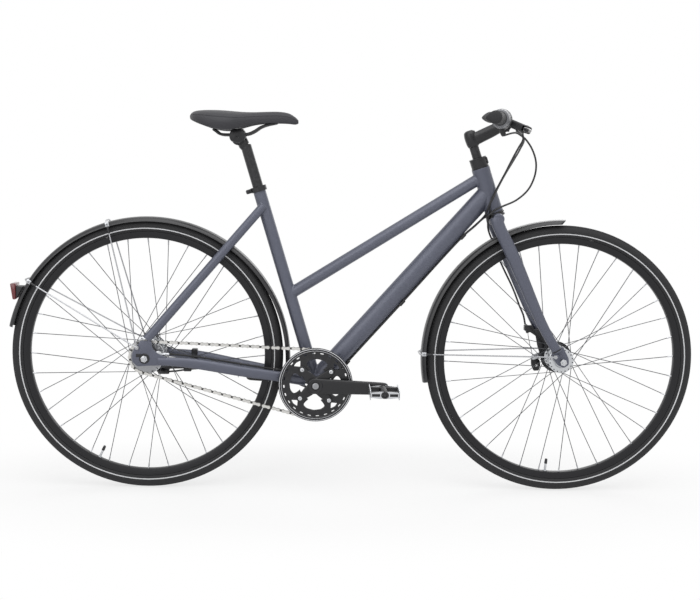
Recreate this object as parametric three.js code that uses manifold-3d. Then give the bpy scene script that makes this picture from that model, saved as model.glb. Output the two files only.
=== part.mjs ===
// Step-through city bicycle: 28 inch wheels, internally geared rear hub, hub brakes, full mudguards.
// Millimetres, +X forward, +Y to the rider's left, +Z up. The drive side faces -Y.
// Pieces are drawn from the rear axle forward; the last lines move the origin to mid-length.
import * as THREE from 'three';
import { mergeVertices } from 'three/addons/utils/BufferGeometryUtils.js';
import Module from 'manifold-3d';

const wasm = await Module();
wasm.setup();

// Driving dimensions
const GAP = 0.3;
const WHEELBASE = 1060;
const TYRE_R = 346;
const TYRE_HALF = 17.5;
const RIM_R = 315.5;
const RIM_INNER_R = 299;
const WHEEL_SIDES = 40;
const REAR_FLANGE_R = 45;
const FRONT_FLANGE_R = 36;
const REAR_OLD = 135;
const FRONT_OLD = 100;
const BB_X = 430;
const BB_Z = 281;
const BB_SHELL_R = 20;
const SEAT_ANGLE = THREE.MathUtils.degToRad(73);
const HEAD_ANGLE = THREE.MathUtils.degToRad(71);
const FORK_OFFSET = 47;
const HEAD_TUBE_R = 23;
const HEAD_BOTTOM = 398;
const HEAD_TOP = 516;
const COLUMN_R = 12;
const STEERER_R = 15;
const STEERER_TOP = 530;
const SEAT_TUBE_R = 16;
const SEAT_TUBE_TOP = 520;
const POST_R = 13.6;
const RAIL_R = 3.5;
const TOP_TUBE_R = 15;
const DOWN_TUBE_HIGH = 25;
const DOWN_TUBE_WIDE = 21;
const TUBE_WALL = 2;
const CHAINLINE = 49;
const LINK_PITCH = 12.7;
const RING_TEETH = 44;
const SPROCKET_TEETH = 20;
const CHAIN_HALF_HIGH = 4.2;
const CHAIN_HALF_WIDE = 4.5;
const CRANK_LENGTH = 170;
const CRANK_DROP = THREE.MathUtils.degToRad(1);
const CHAIN_GUARD_R = 94.5;
const BOLT_CIRCLE_R = 52;
const GUARD_HALF = 23.5;
const REAR_GUARD_R = 361.6;
const REAR_GUARD_X = 2;
const REAR_GUARD_Z = 337;
const REAR_GUARD_TAIL = THREE.MathUtils.degToRad(167.4);
const FRONT_GUARD_R = 358.5;
const FRONT_GUARD_Z = 347;
const BAR_R = 11.1;
const BAR_TURN = THREE.MathUtils.degToRad(-7.6);
const BAR_SWEEP = [-0.126, 0.9915, 0.03];
const GRIP_START = [893, 130, 957];
const GRIP_LENGTH = 195;
const LEVER_DIP = THREE.MathUtils.degToRad(22);
const LEVER_PIVOT = 60;
const SHIFTER_OUTLET = [22, -36, 41];
const ADJUSTER_DROP = 12;
const ADJUSTER_END = -16;
const CABLE_R = 2.4;

const v3 = (x, y, z) => new THREE.Vector3(x, y, z);
const toVector = (point) => new THREE.Vector3(...point);
const mirrored = (points) => points.map(([x, y, z]) => [x, -y, z]);
const radians = THREE.MathUtils.degToRad;

// Materials
const finish = (color, roughness, metalness) =>
  new THREE.MeshStandardMaterial({ color, roughness, metalness });
const paint = () => finish(0x5b626e, 0.45, 0.3);
const black = () => finish(0x1b1c1f, 0.45, 0.2);
const blackPlastic = () => finish(0x18181a, 0.55, 0.0);
const rubber = () => finish(0x1e1f20, 0.85, 0.0);
const silver = () => finish(0xb4b6b8, 0.3, 0.9);
const steel = () => finish(0x8e9092, 0.3, 1.0);
const coverBlack = () => finish(0x232530, 0.7, 0.0);

// Closed-mesh tools: every shape goes through tidy(), which merges vertices and faces them outward.
function tidy(geometry) {
  const bare = geometry.clone();
  for (const name of ['normal', 'uv']) {
    if (bare.getAttribute(name)) bare.deleteAttribute(name);
  }
  const merged = mergeVertices(bare, 1e-4);
  const position = merged.getAttribute('position');
  const index = merged.getIndex().array;
  const kept = [];
  let volume = 0;
  for (let i = 0; i < index.length; i += 3) {
    const [a, b, c] = [index[i], index[i + 1], index[i + 2]];
    if (a === b || b === c || c === a) continue;
    kept.push(a, b, c);
    const [pa, pb, pc] = [a, b, c].map((k) => v3().fromBufferAttribute(position, k));
    volume += pa.dot(pb.cross(pc));
  }
  if (volume < 0) kept.reverse();
  merged.setIndex(kept);
  return merged;
}

function toSolid(geometry) {
  const clean = tidy(geometry);
  return new wasm.Manifold(new wasm.Mesh({
    numProp: 3,
    vertProperties: new Float32Array(clean.getAttribute('position').array),
    triVerts: new Uint32Array(clean.getIndex().array),
  }));
}

function toGeometry(solid) {
  const mesh = solid.getMesh();
  const geometry = new THREE.BufferGeometry();
  geometry.setAttribute('position', new THREE.BufferAttribute(new Float32Array(mesh.vertProperties), 3));
  geometry.setIndex([...mesh.triVerts]);
  return geometry;
}

const join = (first, ...rest) =>
  toGeometry(rest.reduce((sum, part) => sum.add(toSolid(part)), toSolid(first)));

const cut = (base, ...tools) =>
  toGeometry(tools.reduce((rest, tool) => rest.subtract(toSolid(tool)), toSolid(base)));

// Shapes
function revolve(profile, axis = 'z', sides = 24) {
  const ring = profile.map(([r, h]) => new THREE.Vector2(r, h));
  if (profile[0][0] > 0) ring.push(ring[0].clone());
  const geometry = new THREE.LatheGeometry(ring, sides);
  return tidy(axis === 'z' ? geometry.rotateX(Math.PI / 2) : geometry);
}

// A skin over oval rings along a row of centres: radii are [half height, half width] across `side`.
function loft(centres, radii, { sides = 16, side = [0, 1, 0] } = {}) {
  const points = centres.map(toVector);
  const last = points.length - 1;
  const vertices = [];
  const faces = [];
  points.forEach((centre, i) => {
    const travel = points[Math.min(i + 1, last)].clone().sub(points[Math.max(i - 1, 0)]).normalize();
    const across = toVector(side);
    across.addScaledVector(travel, -across.dot(travel)).normalize();
    const up = across.clone().cross(travel).normalize();
    const [high, wide] = radii[Math.min(i, radii.length - 1)];
    for (let j = 0; j < sides; j += 1) {
      const angle = (2 * Math.PI * j) / sides;
      const point = centre.clone();
      point.addScaledVector(up, high * Math.cos(angle));
      point.addScaledVector(across, wide * Math.sin(angle));
      vertices.push(...point.toArray());
    }
  });
  for (let j = 0; j < sides; j += 1) {
    for (let i = 0; i < last; i += 1) {
      const [a, b] = [i * sides + j, i * sides + ((j + 1) % sides)];
      faces.push(a, b, b + sides, a, b + sides, a + sides);
    }
  }
  const end = last * sides;
  for (let j = 1; j < sides - 1; j += 1) {
    faces.push(0, j + 1, j, end, end + j, end + j + 1);
  }
  const geometry = new THREE.BufferGeometry();
  geometry.setAttribute('position', new THREE.Float32BufferAttribute(vertices, 3));
  geometry.setIndex(faces);
  return tidy(geometry);
}

const rod = (a, b, radius, sides = 12, side = [0.13, 0.97, 0.2]) =>
  loft([a, b], [[radius, radius]], { sides, side });

// A round tube on a spline, with its steps shared evenly among the spline's points.
function tube(points, radius, stepsEach, sides = 6) {
  const curve = new THREE.CatmullRomCurve3(points.map(toVector), false, 'centripetal');
  curve.getUtoTmapping = (u) => u;
  const corners = Array.from({ length: sides }, (_, j) => {
    const angle = (2 * Math.PI * j) / sides;
    return new THREE.Vector2(radius * Math.cos(angle), radius * Math.sin(angle));
  });
  const steps = stepsEach * (points.length - 1);
  const options = { steps, extrudePath: curve, bevelEnabled: false };
  return tidy(new THREE.ExtrudeGeometry(new THREE.Shape(corners), options));
}

// A flat plate lying in XZ, from yLow up to yHigh.
function plate(outline, yLow, yHigh, holes = []) {
  const corners = outline.map(([x, z]) => new THREE.Vector2(x, z));
  if (THREE.ShapeUtils.isClockWise(corners)) corners.reverse();
  const shape = new THREE.Shape(corners);
  holes.forEach(([x, z, r]) => {
    shape.holes.push(new THREE.Path().absarc(x, z, r, 0, 2 * Math.PI, true));
  });
  const options = { depth: yHigh - yLow, bevelEnabled: false, curveSegments: 8 };
  const geometry = new THREE.ExtrudeGeometry(shape, options);
  return tidy(geometry.rotateX(Math.PI / 2).translate(0, yHigh, 0));
}

function block(low, high) {
  const size = high.map((value, i) => value - low[i]);
  const middle = high.map((value, i) => (value + low[i]) / 2);
  return tidy(new THREE.BoxGeometry(...size).translate(...middle));
}

function piece(parent, name, geometry, material) {
  const mesh = new THREE.Mesh(geometry, material);
  mesh.name = name;
  parent.add(mesh);
  return mesh;
}

// Frame lines: the steering axis and the seat tube axis, as places along each from its foot
const steeringFoot = v3(WHEELBASE - FORK_OFFSET / Math.sin(HEAD_ANGLE), 0, TYRE_R);
const steeringUp = v3(-Math.cos(HEAD_ANGLE), 0, Math.sin(HEAD_ANGLE));
const steeringFrame = new THREE.Matrix4()
  .makeRotationY(HEAD_ANGLE - Math.PI / 2)
  .setPosition(steeringFoot);
const seatUp = v3(-Math.cos(SEAT_ANGLE), 0, Math.sin(SEAT_ANGLE));
const seatFrame = new THREE.Matrix4()
  .makeRotationY(SEAT_ANGLE - Math.PI / 2)
  .setPosition(BB_X, 0, BB_Z);
const onSteering = (s) => steeringFoot.clone().addScaledVector(steeringUp, s).toArray();
const onSeat = (s) => v3(BB_X, 0, BB_Z).addScaledVector(seatUp, s).toArray();
const inFrame = (geometry, matrix) => geometry.clone().applyMatrix4(matrix);

const bike = new THREE.Group();
const frame = new THREE.Group();
const seat = new THREE.Group();
const steering = new THREE.Group();
bike.add(frame, seat, steering);

// Frame tubes: each stops GAP short of the tube it is welded to
const headSolid = rod(onSteering(HEAD_BOTTOM - 20), onSteering(HEAD_TOP + 20), HEAD_TUBE_R + 0.4, 20);
const seatSolid = rod(onSeat(-60), onSeat(SEAT_TUBE_TOP + 40), SEAT_TUBE_R + 0.4, 20);
const shellSolid = rod([BB_X, -60, BB_Z], [BB_X, 60, BB_Z], BB_SHELL_R + 0.4, 20, [0, 0, 1]);
const topTubeRear = [361.2, 0, 506.1];
const topTubeFront = [851, 0, 814.6];
const downTubeTop = [865, 0, 774];

function buildFrame() {
  const headProfile = [[17.6, HEAD_BOTTOM + GAP], [HEAD_TUBE_R, HEAD_BOTTOM + GAP], [HEAD_TUBE_R, HEAD_TOP],
    [17.6, HEAD_TOP]];
  const headTube = piece(frame, 'head_tube', revolve(headProfile, 'z', 20), paint());
  headTube.applyMatrix4(steeringFrame);

  const topTube = rod(topTubeRear, topTubeFront, TOP_TUBE_R, 16, [0, 1, 0]);
  const topTubeBore = rod(topTubeRear, topTubeFront, TOP_TUBE_R - TUBE_WALL, 16, [0, 1, 0]);
  piece(frame, 'top_tube', cut(topTube, topTubeBore, seatSolid, headSolid), paint());

  const downTubeFoot = [BB_X + 9, 0, BB_Z + 10.2];
  const downTubeSize = [[DOWN_TUBE_HIGH, DOWN_TUBE_WIDE]];
  const downTube = loft([downTubeFoot, downTubeTop], downTubeSize, { sides: 16 });
  const downTubeBore = loft([downTubeFoot, downTubeTop], grown(downTubeSize, -TUBE_WALL), { sides: 16 });
  const topTubeSolid = rod(topTubeRear, topTubeFront, TOP_TUBE_R + GAP, 16, [0, 1, 0]);
  const downTubeCut = cut(downTube, downTubeBore, shellSolid, seatSolid, headSolid, topTubeSolid);
  piece(frame, 'down_tube', downTubeCut, paint());

  const seatTubeProfile = [[14, 8], [SEAT_TUBE_R, 8], [SEAT_TUBE_R, SEAT_TUBE_TOP], [14, SEAT_TUBE_TOP]];
  const seatTube = inFrame(revolve(seatTubeProfile, 'z', 20), seatFrame);
  piece(frame, 'seat_tube', cut(seatTube, shellSolid), paint());

  const shellProfile = [[17.5, -34], [BB_SHELL_R, -34], [BB_SHELL_R, 34], [17.5, 34]];
  const shell = piece(frame, 'bottom_bracket_shell', revolve(shellProfile, 'y', 20), paint());
  shell.position.set(BB_X, 0, BB_Z);
}

// Rear stays, drawn on the left and mirrored
const chainStayLine = [[34, 70, 340], [120, 64, 334], [240, 50, 313], [330, 34, 298.5], [404, 26, 286]];
const chainStaySize = [[10, 6.5], [13, 8], [13.5, 8], [13.5, 8], [13.5, 9]];
const seatStayLine = [[292, 14, 730], [250, 27, 681], [215, 36, 640], [110, 51, 517], [5, 69, 394]];
const seatStaySize = [[11, 8], [11, 8], [11, 8], [11, 8], [11, 6.5]];
const dropoutInner = REAR_OLD / 2 + 0.2;
const dropoutOuter = dropoutInner + 6;
const grown = (sizes, by) => sizes.map((pair) => pair.map((value) => value + by));

function dropoutPlate(yLow, yHigh, grow = 0) {
  const outline = [[-18, 326], [4, 328], [52, 329 - grow], [54, 350], [33, 359], [20, 372],
    [17, 390 + grow], [-9, 392 + grow], [-24, 373], [-31, 357], [-31, 339]];
  return plate(outline, yLow, yHigh, grow ? [] : [[0, TYRE_R, 5.6]]);
}

function buildStays() {
  const stays = [];
  const uprights = [];
  for (const flip of [(points) => points, mirrored]) {
    const sign = flip === mirrored ? -1 : 1;
    const yLow = Math.min(sign * dropoutInner, sign * dropoutOuter);
    const dropout = dropoutPlate(yLow, yLow + 6);
    stays.push(loft(flip(chainStayLine), chainStaySize, { sides: 10 }), dropout);
    const upright = loft(flip(seatStayLine), seatStaySize, { sides: 10 });
    uprights.push(cut(upright, dropoutPlate(yLow - 8, yLow + 14, GAP)));
  }
  stays.push(rod([372, -30, 291], [372, 30, 291], 5, 8, [0, 0, 1]));
  uprights.push(rod([233, -31, 660], [233, 31, 660], 6, 8, [0, 0, 1]));
  piece(frame, 'chain_stays', cut(join(...stays), shellSolid, seatSolid), paint());
  piece(frame, 'seat_stays', cut(join(...uprights), seatSolid), paint());
}

// Seat: clamp collar, post, rail clamp, rails, shell and padded cover
const rail = [[166, 31, 921], [173, 29, 916], [187, 23, 908], [222, 23, 908], [251, 23, 909.5],
  [269, 21, 917], [284, 17, 927], [301, 12, 933.5], [322, 6, 938]];
const UNDERSIDE_RISE = 8;
const SADDLE_BODY = [
  // x, half width, top, lower edge
  [107, 14, 955, 948], [111, 34, 960, 943], [120, 53, 965, 938], [137, 68, 967.5, 931],
  [162, 76, 968.5, 923], [190, 77, 968, 918.5], [214, 69, 966.5, 919.5], [240, 49, 965, 926],
  [268, 32, 965, 933], [300, 23, 966.5, 937], [330, 19.5, 967, 938], [354, 17, 963.5, 937.5],
  [370, 13, 954.5, 936], [378.5, 6, 946.5, 938.5],
];

// One ring of the saddle: a crowned top with drawn-in sides over a raised underside.
function saddleRing([x, half, top, edge]) {
  const deep = top - edge;
  const under = edge + Math.min(UNDERSIDE_RISE, deep * 0.35);
  const across = [
    [0, top], [0.35, top - deep * 0.03], [0.66, top - deep * 0.13], [0.88, top - deep * 0.32],
    [1, top - deep * 0.62], [0.96, edge + 1], [0.9, edge], [0.7, under], [0, under],
  ];
  const right = across.map(([u, z]) => [x, -u * half, z]);
  const left = across.slice(1, -1).reverse().map(([u, z]) => [x, u * half, z]);
  return [...right, ...left];
}

function skin(rings) {
  const count = rings[0].length;
  const last = rings.length - 1;
  const vertices = rings.flat(2);
  const faces = [];
  for (let i = 0; i < last; i += 1) {
    for (let j = 0; j < count; j += 1) {
      const k = (j + 1) % count;
      const [a, b] = [i * count + j, i * count + k];
      faces.push(a, b, b + count, a, b + count, a + count);
    }
  }
  for (const i of [0, last]) {
    const middle = [0, 1, 2].map((axis) => rings[i].reduce((sum, point) => sum + point[axis], 0) / count);
    const centre = vertices.push(...middle) / 3 - 1;
    for (let j = 0; j < count; j += 1) {
      const [a, b] = [i * count + j, i * count + ((j + 1) % count)];
      faces.push(centre, ...(i === 0 ? [b, a] : [a, b]));
    }
  }
  const geometry = new THREE.BufferGeometry();
  geometry.setAttribute('position', new THREE.Float32BufferAttribute(vertices, 3));
  geometry.setIndex(faces);
  return tidy(geometry);
}

function buildSeat() {
  const collarProfile = [[SEAT_TUBE_R + GAP, 508], [20.5, 508], [20.5, 521], [SEAT_TUBE_R + GAP, 521]];
  const collar = join(revolve(collarProfile, 'z', 20), block([-33, -7, 509], [-19, 7, 520]));
  piece(frame, 'seat_collar', collar, black()).applyMatrix4(seatFrame);

  const postProfile = [[0, 290], [POST_R, 290], [POST_R, 632], [0, 632]];
  const post = inFrame(revolve(postProfile, 'z', 16), seatFrame);
  const neckSize = [[14, 13.6], [14, 14], [11, 14]];
  const neck = loft([onSeat(622), [238, 0, 891], [229, 0, 897]], neckSize, { sides: 12 });
  const cradle = rod([227, -17.5, 897], [227, 17.5, 897], 15, 16, [0, 0, 1]);
  piece(seat, 'seatpost', join(post, neck, cradle), black());

  const railPath = [...rail, ...mirrored(rail).reverse()];
  piece(seat, 'saddle_rails', tube(railPath, RAIL_R, 2), black());
  const cheekOutline = [[213, 889], [237, 887], [246, 896], [247, 910], [241, 922], [213, 922], [207, 912],
    [206, 898]];
  const cheeks = [-28.5, 17.9].map((yLow) => plate(cheekOutline, yLow, yLow + 10.6));
  const clamp = join(block([212, -24, 914], [242, 24, 922]), ...cheeks);
  piece(seat, 'saddle_clamp', cut(clamp, tube(railPath, RAIL_R + GAP, 2)), black());

  const cover = skin(SADDLE_BODY.map((row) => saddleRing(row)));
  piece(seat, 'saddle_cover', cover, coverBlack());
  const base = SADDLE_BODY.slice(1, -1).map(([x, half, top, edge]) => {
    const ceiling = edge + Math.min(UNDERSIDE_RISE, (top - edge) * 0.35) - GAP;
    const floor = ceiling - 4;
    const wide = half * 0.66;
    return [[x, 0, ceiling], [x, -wide, ceiling], [x, -wide * 0.96, floor], [x, 0, floor],
      [x, wide * 0.96, floor], [x, wide, ceiling]];
  });
  const railRoom = tube(railPath, RAIL_R + GAP, 2);
  piece(seat, 'saddle_base', cut(skin(base), railRoom), blackPlastic());
}

// Fork: crown, steerer and two tapering blades with their dropouts, one welded piece
const bladeLine = [[881, 38, 709], [886.5, 41, 690], [928.5, 47, 605], [999.5, 58, 448], [1044, 62, 372]];
const forkBladeSize = [[15.5, 12.5], [15.5, 12.5], [17, 12.5], [13.2, 10.5], [12, 10]];
const frontDropoutInner = FRONT_OLD / 2 + 0.2;

function buildFork() {
  const parts = [];
  for (const flip of [(points) => points, mirrored]) {
    const sign = flip === mirrored ? -1 : 1;
    parts.push(loft(flip(bladeLine), forkBladeSize, { sides: 10 }));
    const yLow = sign > 0 ? frontDropoutInner : -frontDropoutInner - 7;
    const outline = [[1029, 379], [1058, 386], [1074, 356], [1075, 340], [1063, 331], [1046, 338],
      [1032, 358]];
    parts.push(plate(outline, yLow, yLow + 7, [[WHEELBASE, TYRE_R, 5]]));
    const lug = rod([1040, sign * 56, 362], [1040, sign * 73.4, 362], 6.5, 12, [0, 0, 1]);
    parts.push(lug);
  }
  parts.push(rod([888, -44, 707], [888, 44, 707], 16, 12, [0, 0, 1]));
  const steererProfile = [[0, 372], [20, 372], [20, 390], [22, 394], [22, HEAD_BOTTOM],
    [STEERER_R, HEAD_BOTTOM], [STEERER_R, STEERER_TOP], [COLUMN_R + GAP, STEERER_TOP],
    [COLUMN_R + GAP, 424], [0, 424]];
  parts.push(inFrame(revolve(steererProfile, 'z', 20), steeringFrame));
  piece(steering, 'fork', join(...parts), paint());
}

// Stem: clamp collar on the head tube, sliding column, elbow and extension with the bar clamp
const barCentre = [898, 0, 944];
const COLLAR_TOP = 543;
const ELBOW_BOTTOM = 572;

// The column, stem and bar stand together, turned a little to the right of the wheel.
const cockpitTurn = new THREE.Matrix4()
  .makeTranslation(...steeringFoot.toArray())
  .multiply(new THREE.Matrix4().makeRotationAxis(steeringUp, BAR_TURN))
  .multiply(new THREE.Matrix4().makeTranslation(...steeringFoot.clone().negate().toArray()));
const cockpit = new THREE.Group();
cockpit.applyMatrix4(cockpitTurn);
steering.add(cockpit);

const acrossBar = (half, radius) =>
  rod([barCentre[0], -half, barCentre[2]], [barCentre[0], half, barCentre[2]], radius, 16, [0, 0, 1]);

function buildStem() {
  const collarProfile = [[STEERER_R + GAP, HEAD_TOP + GAP], [21.5, HEAD_TOP + GAP], [21.5, COLLAR_TOP],
    [COLUMN_R + GAP, COLLAR_TOP], [COLUMN_R + GAP, STEERER_TOP + GAP], [STEERER_R + GAP, STEERER_TOP + GAP]];
  const collar = join(revolve(collarProfile, 'z', 20), block([18.5, -8, 522], [25, 8, 540]));
  piece(steering, 'stem_collar', collar, black()).applyMatrix4(steeringFrame);

  const columnProfile = [[0, 450], [COLUMN_R, 450], [COLUMN_R, ELBOW_BOTTOM], [0, ELBOW_BOTTOM]];
  piece(cockpit, 'stem_column', revolve(columnProfile, 'z', 20), black()).applyMatrix4(steeringFrame);

  const elbowProfile = [[0, ELBOW_BOTTOM + GAP], [13.5, ELBOW_BOTTOM + GAP], [16, 582], [16.5, 600],
    [14, 612], [9, 616], [0, 616]];
  const elbow = inFrame(revolve(elbowProfile, 'z', 16), steeringFrame);
  const armSize = [[16.5, 14], [15.5, 13.5], [14, 15]];
  const arm = loft([[820, 0, 904], [866, 0, 927.5], [888, 0, 939]], armSize, { sides: 12 });
  const clamp = acrossBar(22, 18.5);
  piece(cockpit, 'stem_extension', cut(join(elbow, arm, clamp), acrossBar(30, 13.2)), black());
}

// Handlebar: a straight clamped middle, a bend and a swept straight grip length on each side
function buildHandlebar() {
  const start = toVector(GRIP_START);
  const end = start.clone().addScaledVector(toVector(BAR_SWEEP), GRIP_LENGTH);
  const bendFoot = v3(barCentre[0], 40, barCentre[2]);
  const bendMiddles = [v3(barCentre[0], 78, barCentre[2]), v3(897, 98, 956)];
  const bend = new THREE.CubicBezierCurve3(bendFoot, ...bendMiddles, start).getPoints(6);
  const leftHalf = [...bend, end].map((point) => point.toArray());
  const path = [...mirrored(leftHalf).reverse(), ...leftHalf];
  const bar = loft(path, [[BAR_R, BAR_R]], { sides: 12, side: [0, 0, 1] });
  piece(cockpit, 'handlebar', join(bar, acrossBar(26, 12.7)), black());
}

// Each hand's controls are drawn along the grip: z runs out along the bar and x dips forward.
function gripFrame(sign) {
  const out = v3(BAR_SWEEP[0], sign * BAR_SWEEP[1], BAR_SWEEP[2]).normalize();
  const forward = v3(Math.cos(LEVER_DIP), 0, -Math.sin(LEVER_DIP));
  forward.addScaledVector(out, -forward.dot(out)).normalize();
  const across = out.clone().cross(forward);
  const matrix = new THREE.Matrix4().makeBasis(forward, across, out);
  return matrix.setPosition(GRIP_START[0], sign * GRIP_START[1], GRIP_START[2]);
}

function buildGrip(hand, name, inner) {
  const up = name === 'right' ? 1 : -1;
  const bore = BAR_R + 0.6;
  const outer = [[bore, inner], [17, inner], [16, inner + 4], [15.5, 150], [16.5, 196], [14, 199], [0, 199],
    [0, GRIP_LENGTH + 1], [bore, GRIP_LENGTH + 1]];
  const rear = [-0.8535, -0.42 * up, 0];
  const wing = loft(
    [[0, 0, inner + 30], [rear[0] * 8, rear[1] * 8, 162], [rear[0] * 8, rear[1] * 8, 197]],
    [[10, 13], [9, 17], [8, 16]], { sides: 10, side: rear });
  const room = rod([0, 0, inner - 5], [0, 0, GRIP_LENGTH + 1], bore, 12, [1, 0, 0]);
  piece(hand, `grip_${name}`, cut(join(revolve(outer, 'z', 12), wing), room), rubber());
}

const adjusterEnd = (under, beyond) => [52, under * ADJUSTER_DROP, ADJUSTER_END - beyond];

function buildLever(hand, name) {
  const bore = BAR_R + 0.6;
  const ring = revolve([[bore, 0], [17, 0], [17, 29.7], [bore, 29.7]], 'z', 16);
  const arm = block([14, -9, 2], [LEVER_PIVOT + 12, 9, 26]);
  const slot = block([LEVER_PIVOT - 10, -6.3, 5], [LEVER_PIVOT + 22, 6.3, 30]);
  const onPivot = (half, radius, sides) =>
    rod([LEVER_PIVOT, -half, 14], [LEVER_PIVOT, half, 14], radius, sides, [0, 0, 1]);
  const under = name === 'right' ? -1 : 1;
  const adjuster = rod(adjusterEnd(under, 0), [53, under * 6.5, 8], 5, 8, [1, 0, 0]);
  const bracket = join(cut(join(ring, arm), slot), onPivot(8.5, 2.4, 8), cut(adjuster, slot));
  piece(hand, `lever_bracket_${name}`, bracket, black());

  const bladePath = [[LEVER_PIVOT + 1, 0, 14], [LEVER_PIVOT + 8, 0, 34], [70, 0, 80], [69, 0, 120],
    [71, 0, 146], [75, 0, 158]];
  const leverSize = [[5.5, 5], [6, 4.5], [6, 4.5], [6, 4.5], [6, 5], [4, 4]];
  const blade = loft(bladePath, leverSize, { sides: 8, side: [1, 0, 0] });
  const lever = cut(join(onPivot(5.8, 8.5, 12), blade), onPivot(7, 3, 8));
  piece(hand, `brake_lever_${name}`, lever, black());
}

function buildHand(name) {
  const hand = new THREE.Group();
  hand.applyMatrix4(gripFrame(name === 'right' ? -1 : 1));
  cockpit.add(hand);
  buildLever(hand, name);
  buildGrip(hand, name, name === 'right' ? 100 : 67);
  if (name !== 'right') return;
  const bore = BAR_R + 0.6;
  const ring = [[bore, 60.3], [23, 60.3], [23.5, 66], [21, 96], [18, 99.5], [bore, 99.5]];
  piece(hand, 'twist_shifter', revolve(ring, 'z', 20), finish(0x7b7d80, 0.5, 0.1));
  const housing = revolve([[bore, 30], [21, 30], [24, 36], [24, 60], [bore, 60]], 'z', 20);
  const outlet = cut(rod([0, -14, 44], SHIFTER_OUTLET, 5, 8, [0, 0, 1]), rod([0, 0, 20], [0, 0, 70], 15));
  piece(hand, 'shifter_housing', join(housing, outlet), blackPlastic());
}

// Wheels: hollow tyre, channel rim, crossed spokes for each side, hub shell and axle
function tyreProfile() {
  const centre = TYRE_R - TYRE_HALF;
  const seat = RIM_R + GAP;
  const arc = (radius, count) => {
    const reach = Math.acos((seat - centre) / radius);
    return Array.from({ length: count }, (_, i) => {
      const angle = reach * ((2 * i) / (count - 1) - 1);
      return [centre + radius * Math.cos(angle), radius * Math.sin(angle)];
    });
  };
  return [...arc(TYRE_HALF, 7), ...arc(TYRE_HALF - 3.5, 4).reverse()];
}

const rimProfile = [[RIM_INNER_R, -9], [RIM_R, -12], [RIM_INNER_R + 3, -7], [RIM_INNER_R + 3, 7],
  [RIM_R, 12], [RIM_INNER_R, 9]];

// Eighteen spokes on one side, leaning both ways in two layers, tied by a ring round the hub flange.
function spokeFan(flangeR, flangeY) {
  const out = Math.sign(flangeY);
  const onCircle = (radius, angle, y) => [radius * Math.cos(angle), y, radius * Math.sin(angle)];
  const spokes = Array.from({ length: 18 }, (_, k) => {
    const layer = k % 2 ? 1.7 : -1.7;
    const rimAngle = radians(20 * k + (out > 0 ? 0 : 10));
    const foot = onCircle(flangeR + 2.8, rimAngle + radians(k % 2 ? 60 : -60), flangeY + layer * out);
    return rod(foot, onCircle(RIM_INNER_R - 2.2, rimAngle, (4 + layer) * out), 1.2, 3);
  });
  const tie = revolve([[flangeR + 1.2, flangeY - 3], [flangeR + 4, flangeY - 3],
    [flangeR + 4, flangeY + 3], [flangeR + 1.2, flangeY + 3]], 'y', 18);
  return join(tie, ...spokes);
}

function buildWheel(name, x, flangeR, flangeY, hubProfile, axleProfile) {
  const wheel = new THREE.Group();
  wheel.position.set(x, 0, TYRE_R);
  (name === 'front' ? steering : frame).add(wheel);
  piece(wheel, `${name}_tyre`, revolve(tyreProfile(), 'y', WHEEL_SIDES), rubber());
  piece(wheel, `${name}_rim`, revolve(rimProfile, 'y', WHEEL_SIDES), black());
  piece(wheel, `${name}_spokes_left`, spokeFan(flangeR, flangeY), steel());
  piece(wheel, `${name}_spokes_right`, spokeFan(flangeR, -flangeY), steel());
  piece(wheel, `${name}_hub`, revolve(hubProfile, 'y', 18), silver());
  piece(wheel, `${name}_axle`, revolve(axleProfile, 'y', 8), steel());
  return wheel;
}

const symmetricAxle = (half, locknut, radius) => {
  const side = [[radius, half - 14], [9, half - 14], [9, half - 6.5], [radius, half - 6.5]];
  const inside = [[radius, locknut - 3], [9, locknut - 3], [9, locknut], [radius, locknut]];
  const left = [...inside, ...side, [radius, half], [0, half]];
  return [...left.map(([r, y]) => [r, -y]).reverse(), ...left];
};

function buildWheels() {
  const rearHub = [[7, -42], [33, -42], [33, -31], [REAR_FLANGE_R, -31], [REAR_FLANGE_R, -27], [33, -27],
    [33, 27], [REAR_FLANGE_R, 27], [REAR_FLANGE_R, 31], [33, 31], [33, 38], [7, 38]];
  const rearAxle = symmetricAxle(88.5, REAR_OLD / 2 - 0.1, 5);
  const rear = buildWheel('rear', 0, REAR_FLANGE_R, 29, rearHub, rearAxle);
  const frontHub = [[6, -42], [16, -42], [19, -32], [FRONT_FLANGE_R, -32], [FRONT_FLANGE_R, -28], [22, -28],
    [22, 28], [FRONT_FLANGE_R, 28], [FRONT_FLANGE_R, 32], [6, 32]];
  const frontAxle = symmetricAxle(72, FRONT_OLD / 2 - 0.1, 4.5);
  buildWheel('front', WHEELBASE, FRONT_FLANGE_R, 30, frontHub, frontAxle);

  const cogR = LINK_PITCH / (2 * Math.sin(Math.PI / SPROCKET_TEETH)) - CHAIN_HALF_HIGH - 0.4;
  const cog = [[7, -56], [17, -56], [19, -CHAINLINE - 1.6], [cogR, -CHAINLINE - 1.6],
    [cogR, -CHAINLINE + 1.6], [19, -CHAINLINE + 1.6], [17, -43], [7, -43]];
  piece(rear, 'sprocket', revolve(cog, 'y', 20), steel());
}

// Hub brakes on the left: housing with reaction arm and band clip, and the cam lever the wire pulls
const frontStop = [980, 55, 427];
const rearStop = [46, 56, 288.5];

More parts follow.
